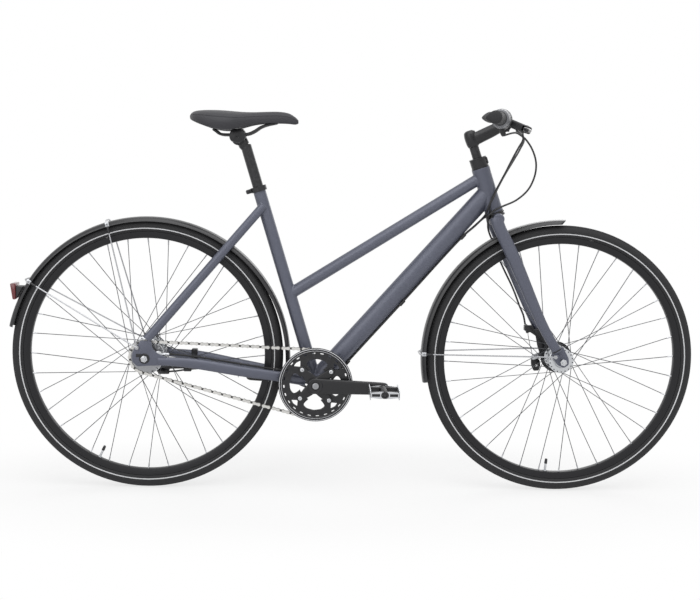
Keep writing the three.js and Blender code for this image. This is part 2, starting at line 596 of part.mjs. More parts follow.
function buildBrakes() {
  const frontDrum = revolve([[6, 33.5], [44, 33.5], [44, 38], [40, 45], [20, 46.5], [6, 46.5]], 'y', 24)
    .translate(WHEELBASE, 0, TYRE_R);
  const frontArm = plate([[1046, 378], [1026, 352], [996, 392], [976, 409], [977, 424], [998, 424],
    [1014, 412]], 41, 46);
  const bandBlocks = join(block([997, 43, 406], [1041, 73, 418]), block([974, 42, 408], [999, 60, 423]));
  const frontBand = cut(bandBlocks, loft(bladeLine, grown(forkBladeSize, 0.4), { sides: 10 }));
  const frontBarrel = rod(frontStop, [988, 55, 406], 5, 8);
  const frontBrake = join(frontDrum, frontArm, frontBand, frontBarrel);
  piece(steering, 'front_brake', frontBrake, black());
  const frontCam = plate([[1035, 345], [1037, 353], [1029, 359], [1003, 349], [997, 344], [998, 337],
    [1005, 335]], 47.4, 49.8);
  piece(steering, 'front_brake_cam', frontCam, steel());

  const rearDrum = revolve([[6, 39], [50, 39], [50, 46], [45, 58], [20, 60], [6, 60]], 'y', 24)
    .translate(0, 0, TYRE_R);
  const rearArm = plate([[-36, 297], [16, 297], [16, 284], [46, 284], [46, 298], [112, 300], [112, 312],
    [44, 314], [24, 344], [0, 362], [-22, 346], [-38, 310]], 58.3, 63, [[0, TYRE_R, 6]]);
  const rearBand = cut(block([104, 54.2, 299], [120, 76, 352]),
    loft(chainStayLine, grown(chainStaySize, 0.4), { sides: 10 }));
  const rearBarrel = rod(rearStop, [20, 56, 290], 4.5, 8);
  piece(frame, 'rear_brake', join(rearDrum, rearArm, rearBand, rearBarrel), black());
  const rearCam = plate([[-29, 321], [-22, 325], [-15, 321], [-8, 291], [-14, 285], [-21, 288]], 63.5, 66.8);
  piece(frame, 'rear_brake_cam', rearCam, steel());
}

// Drivetrain: sealed bottom bracket, cranks with pedal axles, chainring with guard, chain, pedals
function chainLoop(offset) {
  const ringR = LINK_PITCH / (2 * Math.sin(Math.PI / RING_TEETH)) + offset;
  const cogR = LINK_PITCH / (2 * Math.sin(Math.PI / SPROCKET_TEETH)) + offset;
  const toCog = Math.atan2(TYRE_R - BB_Z, -BB_X);
  const wrap = Math.acos((ringR - cogR) / Math.hypot(BB_X, TYRE_R - BB_Z));
  const arc = (x, z, radius, from, to, steps) => Array.from({ length: steps + 1 }, (_, i) => {
    const angle = from + ((to - from) * i) / steps;
    return new THREE.Vector2(x + radius * Math.cos(angle), z + radius * Math.sin(angle));
  });
  return [...arc(BB_X, BB_Z, ringR, toCog + wrap, toCog + 2 * Math.PI - wrap, 24),
    ...arc(0, TYRE_R, cogR, toCog - wrap, toCog + wrap, 12)];
}

function buildCrank(name, sign) {
  const crank = new THREE.Group();
  crank.position.set(BB_X, 0, BB_Z);
  frame.add(crank);
  const end = sign < 0 ? CRANK_LENGTH : -CRANK_LENGTH;
  const boss = rod([0, sign * 58.4, 0], [0, sign * 76, 0], 18.5, 16, [0, 0, 1]);
  const arm = loft([[0, sign * 67, 0], [end * 0.5, sign * 71, 0], [end, sign * 77, 0]],
    [[18.5, 6], [16.5, 6], [14.5, 6]], { sides: 10 });
  const eye = rod([end, sign * 71, 0], [end, sign * 83, 0], 14.5, 14, [0, 0, 1]);
  const pedalAxle = rod([end, sign * 80, 0], [end, sign * 171, 0], 4.8, 8, [0, 0, 1]);
  const parts = [boss, arm, eye, pedalAxle];
  if (sign < 0) {
    for (const angle of [45, 135, 225, 315].map(radians)) {
      const tip = [BOLT_CIRCLE_R * Math.cos(angle), -59.8, BOLT_CIRCLE_R * Math.sin(angle)];
      parts.push(loft([[0, -60.8, 0], tip], [[14, 2.4], [8, 2.2]], { sides: 6 }));
    }
  }
  piece(crank, `crank_${name}`, join(...parts), black()).rotation.y = CRANK_DROP;

  const pedal = new THREE.Group();
  pedal.position.set(end * Math.cos(CRANK_DROP), 0, -end * Math.sin(CRANK_DROP));
  crank.add(pedal);
  const span = (low, high) => (sign < 0 ? [-high, -low] : [low, high]);
  const slab = (x0, x1, [y0, y1], half) => block([x0, y0, -half], [x1, y1, half]);
  const barrel = rod([0, sign * 87, 0], [0, sign * 174, 0], 9, 12, [0, 0, 1]);
  const cage = join(barrel, slab(34, 37.5, span(87, 173), 13), slab(-37.5, -34, span(87, 173), 13),
    slab(-36, 36, span(87, 91), 9), slab(-36, 36, span(169, 173), 9));
  const bore = rod([0, sign * 84, 0], [0, sign * 171.5, 0], 5.5, 8, [0, 0, 1]);
  piece(pedal, `pedal_${name}`, cut(cage, bore), silver());
}

function buildDrivetrain() {
  buildCrank('right', -1);
  buildCrank('left', 1);

  const centre = new THREE.Group();
  centre.position.set(BB_X, 0, BB_Z);
  frame.add(centre);
  const cartridge = [[8.8, -38], [18.5, -38], [18.5, -34.3], [16.9, -34.3], [16.9, 34.3], [18.5, 34.3],
    [18.5, 38], [8.8, 38]];
  piece(centre, 'bottom_bracket_cartridge', revolve(cartridge, 'y', 16), steel());
  const spindle = [[0, -58], [8.5, -58], [8.5, 58], [0, 58]];
  piece(centre, 'bottom_bracket_axle', revolve(spindle, 'y', 16), steel());
  const toothR = LINK_PITCH / (2 * Math.sin(Math.PI / RING_TEETH)) - CHAIN_HALF_HIGH - 0.4;
  const ring = [[46, -57.2], [CHAIN_GUARD_R, -57.2], [CHAIN_GUARD_R, -55], [58, -55],
    [58, -CHAINLINE - 1.6], [toothR, -CHAINLINE - 1.6], [toothR, -CHAINLINE + 1.6], [46, -CHAINLINE + 1.6]];
  piece(centre, 'chainring', revolve(ring, 'y', 36), black());

  const chain = new THREE.Shape(chainLoop(CHAIN_HALF_HIGH));
  chain.holes.push(new THREE.Path(chainLoop(-CHAIN_HALF_HIGH)));
  const band = new THREE.ExtrudeGeometry(chain, { depth: 2 * CHAIN_HALF_WIDE, bevelEnabled: false });
  const chainMesh = piece(frame, 'chain', tidy(band.rotateX(Math.PI / 2)), steel());
  chainMesh.position.y = -CHAINLINE + CHAIN_HALF_WIDE;
}

// Mudguards: arched channels over the tyres, held by one-piece wire stays that bridge them
const rearArch = { x: REAR_GUARD_X, z: REAR_GUARD_Z, radius: REAR_GUARD_R };
const frontArch = { x: WHEELBASE, z: FRONT_GUARD_Z, radius: FRONT_GUARD_R };
const onArch = ({ x, z, radius }, angle, out = 0) =>
  v3(x + (radius + out) * Math.cos(angle), 0, z + (radius + out) * Math.sin(angle));

class Arc extends THREE.Curve {
  constructor(arch, from, to) {
    super();
    Object.assign(this, { arch, from, to });
  }

  getPoint(t) {
    return onArch(this.arch, this.from + (this.to - this.from) * t);
  }
}

function guard(arch, from, to, steps) {
  const outer = [[-GUARD_HALF, -11], [-19, -2.4], [0, 1], [19, -2.4], [GUARD_HALF, -11]];
  const inner = [[22, -11], [18, -4], [0, -0.8], [-18, -4], [-22, -11]];
  const section = new THREE.Shape([...outer, ...inner].map(([u, w]) => new THREE.Vector2(u, w)));
  const options = { steps, extrudePath: new Arc(arch, from, to), bevelEnabled: false };
  return tidy(new THREE.ExtrudeGeometry(section, options));
}

function stayWire(eyelet, eyeletY, arch, angle) {
  const end = onArch(arch, angle, 5.5);
  const along = end.clone().sub(v3(eyelet[0], 0, eyelet[1])).normalize();
  const back = (distance, y) => {
    const point = end.clone().addScaledVector(along, -distance);
    return [point.x, -y, point.z];
  };
  const right = [[eyelet[0], -eyeletY, eyelet[1]], back(14, 29), back(5, 27.8), back(1.2, 24), back(0, 18)];
  const path = [...right, ...mirrored(right).reverse()];
  return loft(path, [[1.75, 1.75]], { sides: 5, side: [-along.z, 0, along.x] });
}

function stayWasher(eyelet, low) {
  return [-1, 1].map((sign) => rod(
    [eyelet[0], sign * low, eyelet[1]], [eyelet[0], sign * (low + 6), eyelet[1]], 5, 8, [0, 0, 1]));
}

function buildGuards() {
  const rearGuard = guard(rearArch, radians(-2.7), REAR_GUARD_TAIL, 24);
  piece(frame, 'rear_mudguard', rearGuard, black());
  const rearEyelet = [-18, 374];
  const wires = [106.4, 147].map((angle) => stayWire(rearEyelet, 79, rearArch, radians(angle)));
  piece(frame, 'rear_mudguard_stays', join(...wires, ...stayWasher(rearEyelet, 74.2)), steel());

  piece(steering, 'front_mudguard', guard(frontArch, radians(87), radians(190.6), 14), black());
  const frontEyelet = [1036, 362];
  const frontWire = stayWire(frontEyelet, 78, frontArch, radians(178.3));
  piece(steering, 'front_mudguard_stay', join(frontWire, ...stayWasher(frontEyelet, 73.8)), steel());

  const guardRoom = rod([REAR_GUARD_X, -40, REAR_GUARD_Z], [REAR_GUARD_X, 40, REAR_GUARD_Z],
    REAR_GUARD_R + 2.4, 80, [0, 0, 1]);
  const body = cut(block([-331, -20, 489], [-308, 20, 518]), guardRoom);
  piece(frame, 'rear_light_body', body, blackPlastic());
  const lens = cut(plate([[-345, 526], [-339, 485], [-331.3, 485], [-331.3, 526]], -22, 22), guardRoom);
  piece(frame, 'rear_light_lens', lens, finish(0x7a1418, 0.2, 0));
}

// Cables: from the controls past the right of the head tube, two on under the down tube
const downTubeRun = toVector(downTubeTop).sub(v3(BB_X, 0, BB_Z)).normalize();
const underDownTube = (distance, y) => {
  const below = v3(downTubeRun.z, 0, -downTubeRun.x).multiplyScalar(DOWN_TUBE_HIGH + 4.2);
  return v3(BB_X, y, BB_Z).addScaledVector(downTubeRun, distance).add(below).toArray();
};
const fromGrip = (sign, point) =>
  toVector(point).applyMatrix4(gripFrame(sign)).applyMatrix4(cockpitTurn).toArray();

function buildCables() {
  const front = [
    fromGrip(1, adjusterEnd(1, 0.6)), fromGrip(1, adjusterEnd(1, 14)), [962, 86, 912], [949, 67, 886],
    [930, 44, 858], [908, 17, 824], [889, -13, 791], [874, -26, 762], [864.5, -27, 739.4],
    [866, -26.5, 724], [863, -20, 708], [864, -8, 694], [869, 12, 676], [882, 33, 650], [894.5, 43, 622],
    [908.4, 48, 592], [924, 48.5, 560.6], [939, 50, 532], [951, 51, 505.5], [961.7, 53, 479],
    [974, 55, 452], [979.6, 55, 428],
  ];
  piece(steering, 'front_brake_cable', tube(front, CABLE_R, 2), blackPlastic());

  const rear = [
    fromGrip(-1, adjusterEnd(-1, 0.6)), fromGrip(-1, adjusterEnd(-1, 12)), [925, -119, 907],
    [915.5, -110, 884], [906, -92, 858], [894, -72, 824], [882, -50, 791.6], [870, -36, 762],
    [861.5, -33.5, 739.6], [856.5, -27, 722], [850, -17, 708.5], [838, -5, 699],
    underDownTube(562, 4), underDownTube(530, 4), underDownTube(300, 4), underDownTube(60, 4),
    [459.5, 4, 270.5], [445, 4, 257.5], [430, 4, 255.5], [408, 9, 261.5],
    [380, 20, 271], [350, 29.5, 277.5], [330, 33.5, 280.5], [240, 47, 295.5], [170, 51, 304],
    [130, 49.5, 299], [95, 51.5, 291], [60, 55.7, 288.4], [46.8, 56, 288.5],
  ];
  piece(frame, 'rear_brake_cable', tube(rear, CABLE_R, 2), blackPlastic());

  const gear = [
    fromGrip(-1, [23.2, -37.2, 40.8]), fromGrip(-1, [33, -43, 35]), [892, -158, 914], [907, -136, 918.5],
    [923.5, -114, 914.8], [936, -102, 907.5], [958.5, -76, 883.5], [974.5, -50, 850.5], [976, -30, 816.7],
    [962, -22, 782], [933, -20, 755], [897, -28, 739], [877, -35, 729.5], [861, -38, 716], [848, -31, 701],
    [838, -17, 690], underDownTube(562, -5),
    underDownTube(530, -5), underDownTube(300, -5), underDownTube(60, -5), [459.5, -5, 270.5],
    [445, -5, 257.5], [430, -5, 255.5], [410, -7, 261.5], [396, -10, 280], [391, -12, 300],
    [380, -18, 317], [350, -31, 313.5], [330, -34, 316], [240, -47, 331], [150, -57, 347],
    [100, -60.5, 353.5], [60, -59, 356], [34, -60, 355],
  ];
  piece(frame, 'gear_cable', tube(gear, CABLE_R, 2), blackPlastic());
}

buildFrame();
buildStays();
buildSeat();
buildFork();
buildStem();
buildHandlebar();
buildHand('left');
buildHand('right');
buildWheels();
buildBrakes();
buildDrivetrain();
buildGuards();
buildCables();

const tailX = onArch(rearArch, REAR_GUARD_TAIL, 1).x;
bike.position.x = -(WHEELBASE + TYRE_R + tailX) / 2;

export default bike;
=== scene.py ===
import math

import bmesh
import bpy
from mathutils import Matrix, Vector


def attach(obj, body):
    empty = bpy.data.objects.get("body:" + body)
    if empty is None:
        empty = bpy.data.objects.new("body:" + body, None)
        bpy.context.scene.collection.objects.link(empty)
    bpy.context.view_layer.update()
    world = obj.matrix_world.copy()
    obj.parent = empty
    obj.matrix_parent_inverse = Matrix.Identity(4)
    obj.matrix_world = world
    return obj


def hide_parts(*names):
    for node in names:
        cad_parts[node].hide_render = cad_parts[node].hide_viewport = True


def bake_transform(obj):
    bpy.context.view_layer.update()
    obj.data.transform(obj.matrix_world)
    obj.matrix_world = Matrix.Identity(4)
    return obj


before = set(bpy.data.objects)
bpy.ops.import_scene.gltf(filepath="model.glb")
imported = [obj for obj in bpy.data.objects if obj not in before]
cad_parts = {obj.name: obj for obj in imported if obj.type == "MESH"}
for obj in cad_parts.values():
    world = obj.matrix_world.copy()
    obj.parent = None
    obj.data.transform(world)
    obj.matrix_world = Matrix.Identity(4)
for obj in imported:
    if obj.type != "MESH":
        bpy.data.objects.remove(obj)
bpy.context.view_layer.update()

# Camera: it stands three metres off the drive side at waist height, looks a little down
# and forward, and has the slight tilt of the photograph.
camera_place = Vector((-0.1024, -2.9925, 0.8286))
camera_yaw = 0.0304
camera_dip = 0.1118
camera_roll = -0.0162
focal_pixels = 1173
picture_pixels = 700
sight = Vector(
    (
        math.sin(camera_yaw) * math.cos(camera_dip),
        math.cos(camera_yaw) * math.cos(camera_dip),
        -math.sin(camera_dip),
    )
)
level_right = Vector((math.cos(camera_yaw), -math.sin(camera_yaw), 0))
level_down = sight.cross(level_right)
picture_right = level_right * math.cos(camera_roll) + level_down * math.sin(camera_roll)
picture_down = level_down * math.cos(camera_roll) - level_right * math.sin(camera_roll)
camera_turn = Matrix((picture_right, -picture_down, -sight)).transposed()
camera_data = bpy.data.cameras.new("studio_camera")
camera_data.sensor_width = 36
camera_data.lens = focal_pixels / picture_pixels * camera_data.sensor_width
camera = bpy.data.objects.new("studio_camera", camera_data)
camera.matrix_world = Matrix.Translation(camera_place) @ camera_turn.to_4x4()
bpy.context.scene.collection.objects.link(camera)
bpy.context.scene.camera = camera

# Studio: a plain white floor that keeps a soft shadow, a white room, one broad soft lamp
# above and two weaker ones at the front and the back.
bpy.context.scene.view_settings.view_transform = "Standard"


def node_maker(tree):
    """Adds a node of one kind to a tree and sets what is given by name or by socket."""

    def add(kind, sockets=None, **settings):
        node = tree.nodes.new(kind)
        for key, value in settings.items():
            setattr(node, key, value)
        for key, value in (sockets or {}).items():
            if isinstance(value, bpy.types.NodeSocket):
                tree.links.new(value, node.inputs[key])
            else:
                node.inputs[key].default_value = value
        return node

    return add


def white_to_the_eye(add):
    """One for rays that see the background straight, by reflection or through glass."""
    path = add("ShaderNodeLightPath").outputs
    seen = add(
        "ShaderNodeMath",
        {0: path["Is Camera Ray"], 1: path["Is Glossy Ray"]},
        operation="MAXIMUM",
    )
    return add(
        "ShaderNodeMath",
        {0: seen.outputs[0], 1: path["Is Transmission Ray"]},
        operation="MAXIMUM",
    ).outputs[0]


room = bpy.data.worlds.new("white_room")
bpy.context.scene.world = room
room.use_nodes = True
room.node_tree.nodes.clear()
add = node_maker(room.node_tree)
room_light = add("ShaderNodeBackground", {"Color": (1, 1, 1, 1), "Strength": 0.55})
room_seen = add("ShaderNodeBackground", {"Color": (1, 1, 1, 1), "Strength": 1.0})
room_mix = add(
    "ShaderNodeMixShader",
    {0: white_to_the_eye(add), 1: room_light.outputs[0], 2: room_seen.outputs[0]},
)
add("ShaderNodeOutputWorld", {"Surface": room_mix.outputs[0]})

bpy.ops.object.select_all(action="DESELECT")
bpy.ops.mesh.primitive_circle_add(vertices=64, radius=9, fill_type="NGON")
floor = bpy.context.object
floor.name = "studio_floor"
floor_white = bpy.data.materials.new("floor_white")
floor_white.use_nodes = True
floor_white.node_tree.nodes.clear()
add = node_maker(floor_white.node_tree)
floor_matt = add("ShaderNodeBsdfDiffuse", {"Color": (0.9, 0.9, 0.9, 1)})
floor_glow = add("ShaderNodeEmission", {"Color": (1, 1, 1, 1), "Strength": 1.0})
floor_where = add("ShaderNodeTexCoord").outputs["Object"]
floor_long = add(
    "ShaderNodeVectorMath", {0: floor_where, 1: (1, 2.4, 1)}, operation="MULTIPLY"
).outputs["Vector"]
floor_reach = add("ShaderNodeVectorMath", {0: floor_long}, operation="LENGTH").outputs["Value"]
floor_far = add(
    "ShaderNodeMapRange",
    {"Value": floor_reach, "From Min": 0.7, "From Max": 1.5, "To Min": 0.7, "To Max": 1.0},
    interpolation_type="SMOOTHSTEP",
)
floor_share = add(
    "ShaderNodeMath",
    {0: white_to_the_eye(add), 1: floor_far.outputs[0]},
    operation="MULTIPLY",
)
floor_mix = add(
    "ShaderNodeMixShader",
    {0: floor_share.outputs[0], 1: floor_matt.outputs[0], 2: floor_glow.outputs[0]},
)
add("ShaderNodeOutputMaterial", {"Surface": floor_mix.outputs[0]})
floor.data.materials.append(floor_white)

for lamp_name, lamp_place, lamp_aim, lamp_size, lamp_watts in (
    ("lamp_above", (0.2, -1.3, 3.2), (0, 0, 0.4), 3.4, 62),
    ("lamp_front", (-2.2, -3.0, 1.9), (0, 0, 0.5), 2.2, 22),
    ("lamp_back", (1.4, 2.6, 2.2), (0, 0, 0.4), 2.2, 22),
):
    lamp_data = bpy.data.lights.new(lamp_name, "AREA")
    lamp_data.size = lamp_size
    lamp_data.energy = lamp_watts
    lamp = bpy.data.objects.new(lamp_name, lamp_data)
    lamp.location = lamp_place
    towards = Vector(lamp_aim) - Vector(lamp_place)
    lamp.rotation_euler = towards.to_track_quat("-Z", "Y").to_euler()
    bpy.context.scene.collection.objects.link(lamp)


# Frame tubes: aluminium tubes mitred to each other, welded, and painted a satin slate blue.
# The head tube and the seat tube are turned; the top and down tubes run between them.
rear_axle_x = -0.5270663


def spot(x, y, z):
    """A place in millimetres forward of the rear axle, left of the middle and up."""
    return Vector((rear_axle_x + x / 1000, y / 1000, z / 1000))


axle_high = 346
front_axle_x = 1060
bracket_x, bracket_z = 430, 281
steering_foot = (1010.292, axle_high)
steering_up = (-0.32557, 0.94552)
seat_foot = (bracket_x, bracket_z)
seat_up = (-0.29237, 0.95630)
leftwards = (0, 1, 0)


def at_axle(x, y):
    """A place as high as the axles."""
    return spot(x, y, axle_high)


def at_bracket(y):
    """A place on the bottom bracket's axis."""
    return spot(bracket_x, y, bracket_z)


def around(x, z, radius, angle):
    """Forward and up of a place round a centre; the angle is in radians."""
    return x + radius * math.cos(angle), z + radius * math.sin(angle)


def clear_hands():
    """Nothing is selected, and no piece is being edited."""
    if bpy.context.object and bpy.context.object.mode != "OBJECT":
        bpy.ops.object.mode_set(mode="OBJECT")
    bpy.ops.object.select_all(action="DESELECT")


def hold(piece):
    """Only this piece is selected, and it is the active one."""
    clear_hands()
    piece.select_set(True)
    bpy.context.view_layer.objects.active = piece


def start_ring(name, places, filled=False):
    """A ring of vertices set to its places, left in edit mode with all of it selected."""
    clear_hands()
    fill = "NGON" if filled else "NOTHING"
    bpy.ops.mesh.primitive_circle_add(vertices=len(places), fill_type=fill)
    piece = bpy.context.object
    piece.name = name
    piece.data.name = name
    bpy.ops.object.mode_set(mode="EDIT")
    mesh = bmesh.from_edit_mesh(piece.data)
    mesh.verts.ensure_lookup_table()
    for vertex, place in zip(mesh.verts, places):
        vertex.co = place
    bmesh.update_edit_mesh(piece.data)
    return piece


def close_up(piece):
    """Doubles merged and faces turned outwards."""
    bpy.ops.mesh.select_all(action="SELECT")
    bpy.ops.mesh.remove_doubles(threshold=0.00002)
    bpy.ops.mesh.normals_make_consistent(inside=False)
    bpy.ops.object.mode_set(mode="OBJECT")
    return piece


def turned(name, profile, centre, axis, steps=48):
    """A shape turned round an axis. The profile is (radius, place along the axis) in mm.
    One that starts and ends on the axis is solid; any other is a closed ring."""
    axis = Vector(axis).normalized()
    side = axis.orthogonal().normalized()
    places = [centre + axis * (h / 1000) + side * (r / 1000) for r, h in profile]
    piece = start_ring(name, places)
    if profile[0][0] == 0 and profile[-1][0] == 0:
        mesh = bmesh.from_edit_mesh(piece.data)
        mesh.verts.ensure_lookup_table()
        last = mesh.edges.get((mesh.verts[0], mesh.verts[len(places) - 1]))
        bpy.ops.mesh.select_all(action="DESELECT")
        bpy.ops.mesh.select_mode(type="EDGE")
        last.select = True
        bmesh.update_edit_mesh(piece.data)
        bpy.ops.mesh.delete(type="EDGE")
        bpy.ops.mesh.select_mode(type="VERT")
        bpy.ops.mesh.select_all(action="SELECT")
    bpy.ops.mesh.spin(steps=steps, angle=2 * math.pi, center=centre, axis=axis)
    return close_up(piece)


def drawn_out(name, rings):
    """A skin pulled from ring to ring by extruding, and closed at both ends."""
    piece = start_ring(name, rings[0])
    mesh = bmesh.from_edit_mesh(piece.data)
    mesh.verts.ensure_lookup_table()
    order = {vertex.index: i for i, vertex in enumerate(mesh.verts)}
    for ring in rings[1:]:
        bpy.ops.mesh.extrude_region_move()
        mesh = bmesh.from_edit_mesh(piece.data)
        mesh.verts.ensure_lookup_table()
        mesh.verts.index_update()
        fresh = {}
        for vertex in mesh.verts:
            if not vertex.select:
                continue
            for edge in vertex.link_edges:
                root = edge.other_vert(vertex)
                if not root.select:
                    fresh[vertex.index] = order[root.index]
        for index, i in fresh.items():
            mesh.verts[index].co = ring[i]
        order = fresh
        bmesh.update_edit_mesh(piece.data)
    bpy.ops.mesh.select_all(action="DESELECT")
    bpy.ops.mesh.select_mode(type="EDGE")
    bpy.ops.mesh.select_non_manifold(extend=False)
    bpy.ops.mesh.edge_face_add()
    bpy.ops.mesh.select_mode(type="VERT")
    return close_up(piece)


def eased(rows, per_gap):
    """Rows of numbers on a smooth line through the given rows."""
    smooth = []
    last = len(rows) - 1
    for i in range(last):
        before, here = rows[max(i - 1, 0)], rows[i]
        there, after = rows[i + 1], rows[min(i + 2, last)]
        for step in range(per_gap):
            t = step / per_gap
            smooth.append(
                [
                    0.5
                    * (
                        2 * b
                        + (c - a) * t
                        + (2 * a - 5 * b + 4 * c - d) * t * t
                        + (3 * b - a - 3 * c + d) * t**3
                    )
                    for a, b, c, d in zip(before, here, there, after)
                ]
            )
    return smooth + [list(rows[last])]


def oval_tube(name, rows, per_gap=5, sides=28, square=1.0, place_of=spot):
    """A tube of changing oval section: rows are x, y, z, half height, half width in mm.
    A square under one makes the section boxier; place_of says whose directions x, y, z are."""
    rows = eased(rows, per_gap) if per_gap > 1 else rows
    rings = []
    for i, (x, y, z, high, wide) in enumerate(rows):
        before, after = rows[max(i - 1, 0)], rows[min(i + 1, len(rows) - 1)]
        travel = (Vector(after[:3]) - Vector(before[:3])).normalized()
        across = Vector(leftwards)
        across = (across - travel * across.dot(travel)).normalized()
        up = across.cross(travel)
        ring = []
        for j in range(sides):
            angle = 2 * math.pi * j / sides
            c, s = math.cos(angle), math.sin(angle)
            place = Vector((x, y, z))
            place += up * high * math.copysign(abs(c) ** square, c)
            place += across * wide * math.copysign(abs(s) ** square, s)
            ring.append(place_of(*place))
        rings.append(ring)
    return drawn_out(name, rings)


def finish_with(piece, kind, **settings):
    """A modifier set up and applied at once."""
    hold(piece)
    modifier = piece.modifiers.new(kind.lower(), kind)
    for key, value in settings.items():
        setattr(modifier, key, value)
    bpy.ops.object.modifier_apply(modifier=modifier.name)
    return piece


def soften(piece, width, segments=2):
    """Its sharp edges rounded by this many millimetres."""
    return finish_with(
        piece,
        "BEVEL",
        width=width / 1000,
        segments=segments,
        limit_method="ANGLE",
        angle_limit=math.radians(32),
        use_clamp_overlap=True,
    )


def cut_away(piece, cutter):
    """The cutter taken out of the piece, and put away."""
    finish_with(piece, "BOOLEAN", object=cutter, operation="DIFFERENCE", solver="EXACT")
    bpy.data.objects.remove(cutter)
    return piece


def together(name, pieces):
    """Several meshes joined into one piece."""
    hold(pieces[0])
    for other in pieces[1:]:
        other.select_set(True)
    bpy.ops.object.join()
    pieces[0].name = name
    pieces[0].data.name = name
    return pieces[0]


def dress(piece, material, body, replaces=(), angle=35):
    """Smooth faces, the finish, the body that the piece rides on and what it stands for.
    A piece that runs between two bodies is given none."""
    hold(piece)
    bpy.ops.object.shade_smooth_by_angle(angle=math.radians(angle))
    piece.data.materials.clear()
    piece.data.materials.append(material)
    if body:
        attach(piece, body)
    if replaces:
        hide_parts(*replaces)
    return piece


def colour(red, green, blue):
    """A colour as it is seen on a screen, 0 to 255, as light."""
    seen = [value / 255 for value in (red, green, blue)]
    return (*[v / 12.92 if v <= 0.04045 else ((v + 0.055) / 1.055) ** 2.4 for v in seen], 1)


def effect(name, inputs, outputs):
    """A new shader node group with its sockets; gives its tree, inside inputs and outputs."""
    tree = bpy.data.node_groups.new(name, "ShaderNodeTree")
    for label, kind, value in inputs:
        socket = tree.interface.new_socket(label, in_out="INPUT", socket_type=kind)
        if value is not None:
            socket.default_value = value
    for label, kind in outputs:
        tree.interface.new_socket(label, in_out="OUTPUT", socket_type=kind)
    inside = tree.nodes.new("NodeGroupInput").outputs
    outside = tree.nodes.new("NodeGroupOutput").inputs
    return tree, inside, outside


# Fine grain: a small mottle that shifts colour and gloss, and a height for the bump.
grain_tree, grain_in, grain_out = effect(
    "fine_grain",
    [
        ("Place", "NodeSocketVector", None),
        ("Size", "NodeSocketFloat", 900.0),
        ("Colour", "NodeSocketColor", (0.5, 0.5, 0.5, 1)),
        ("Shade", "NodeSocketFloat", 0.1),
        ("Rough", "NodeSocketFloat", 0.4),
        ("Rough Spread", "NodeSocketFloat", 0.08),
    ],
    [("Colour", "NodeSocketColor"), ("Rough", "NodeSocketFloat"), ("Height", "NodeSocketFloat")],
)
add = node_maker(grain_tree)
speck = add(
    "ShaderNodeTexNoise",
    {"Vector": grain_in["Place"], "Scale": grain_in["Size"], "Detail": 3.0, "Roughness": 0.6},
).outputs["Fac"]
cloud = add(
    "ShaderNodeTexNoise", {"Vector": grain_in["Place"], "Scale": 14.0, "Detail": 2.0}
).outputs["Fac"]
both = add("ShaderNodeMath", {0: speck, 1: cloud}, operation="ADD").outputs[0]
swing = add("ShaderNodeMath", {0: both, 1: 1.0}, operation="SUBTRACT").outputs[0]
shade = add(
    "ShaderNodeMath", {0: swing, 1: grain_in["Shade"], 2: 1.0}, operation="MULTIPLY_ADD"
).outputs[0]
shaded = add(
    "ShaderNodeVectorMath", {0: grain_in["Colour"], "Scale": shade}, operation="SCALE"
).outputs["Vector"]
rough = add(
    "ShaderNodeMath",
    {0: swing, 1: grain_in["Rough Spread"], 2: grain_in["Rough"]},
    operation="MULTIPLY_ADD",
).outputs[0]
grain_tree.links.new(shaded, grain_out["Colour"])
grain_tree.links.new(rough, grain_out["Rough"])
grain_tree.links.new(speck, grain_out["Height"])

# Edge wear: corners that hands and stands rub show a paler, shinier metal or plastic.
wear_tree, wear_in, wear_out = effect(
    "edge_wear",
    [
        ("Place", "NodeSocketVector", None),
        ("Colour", "NodeSocketColor", (0.5, 0.5, 0.5, 1)),
        ("Worn Colour", "NodeSocketColor", (0.6, 0.6, 0.6, 1)),
        ("Amount", "NodeSocketFloat", 0.3),
    ],
    [("Colour", "NodeSocketColor"), ("Mask", "NodeSocketFloat")],
)
add = node_maker(wear_tree)
corner = add("ShaderNodeNewGeometry").outputs["Pointiness"]
sharp = add(
    "ShaderNodeMapRange", {"Value": corner, "From Min": 0.53, "From Max": 0.62}
).outputs[0]
patchy = add(
    "ShaderNodeTexNoise", {"Vector": wear_in["Place"], "Scale": 160.0, "Detail": 4.0}
).outputs["Fac"]
patches = add(
    "ShaderNodeMapRange", {"Value": patchy, "From Min": 0.4, "From Max": 0.65}
).outputs[0]
rubbed = add("ShaderNodeMath", {0: sharp, 1: patches}, operation="MULTIPLY").outputs[0]
worn = add(
    "ShaderNodeMath", {0: rubbed, 1: wear_in["Amount"]}, operation="MULTIPLY"
).outputs[0]
worn_mix = add(
    "ShaderNodeMix",
    {"Factor": worn, 6: wear_in["Colour"], 7: wear_in["Worn Colour"]},
    data_type="RGBA",
)
wear_tree.links.new(worn_mix.outputs[2], wear_out["Colour"])
wear_tree.links.new(worn, wear_out["Mask"])


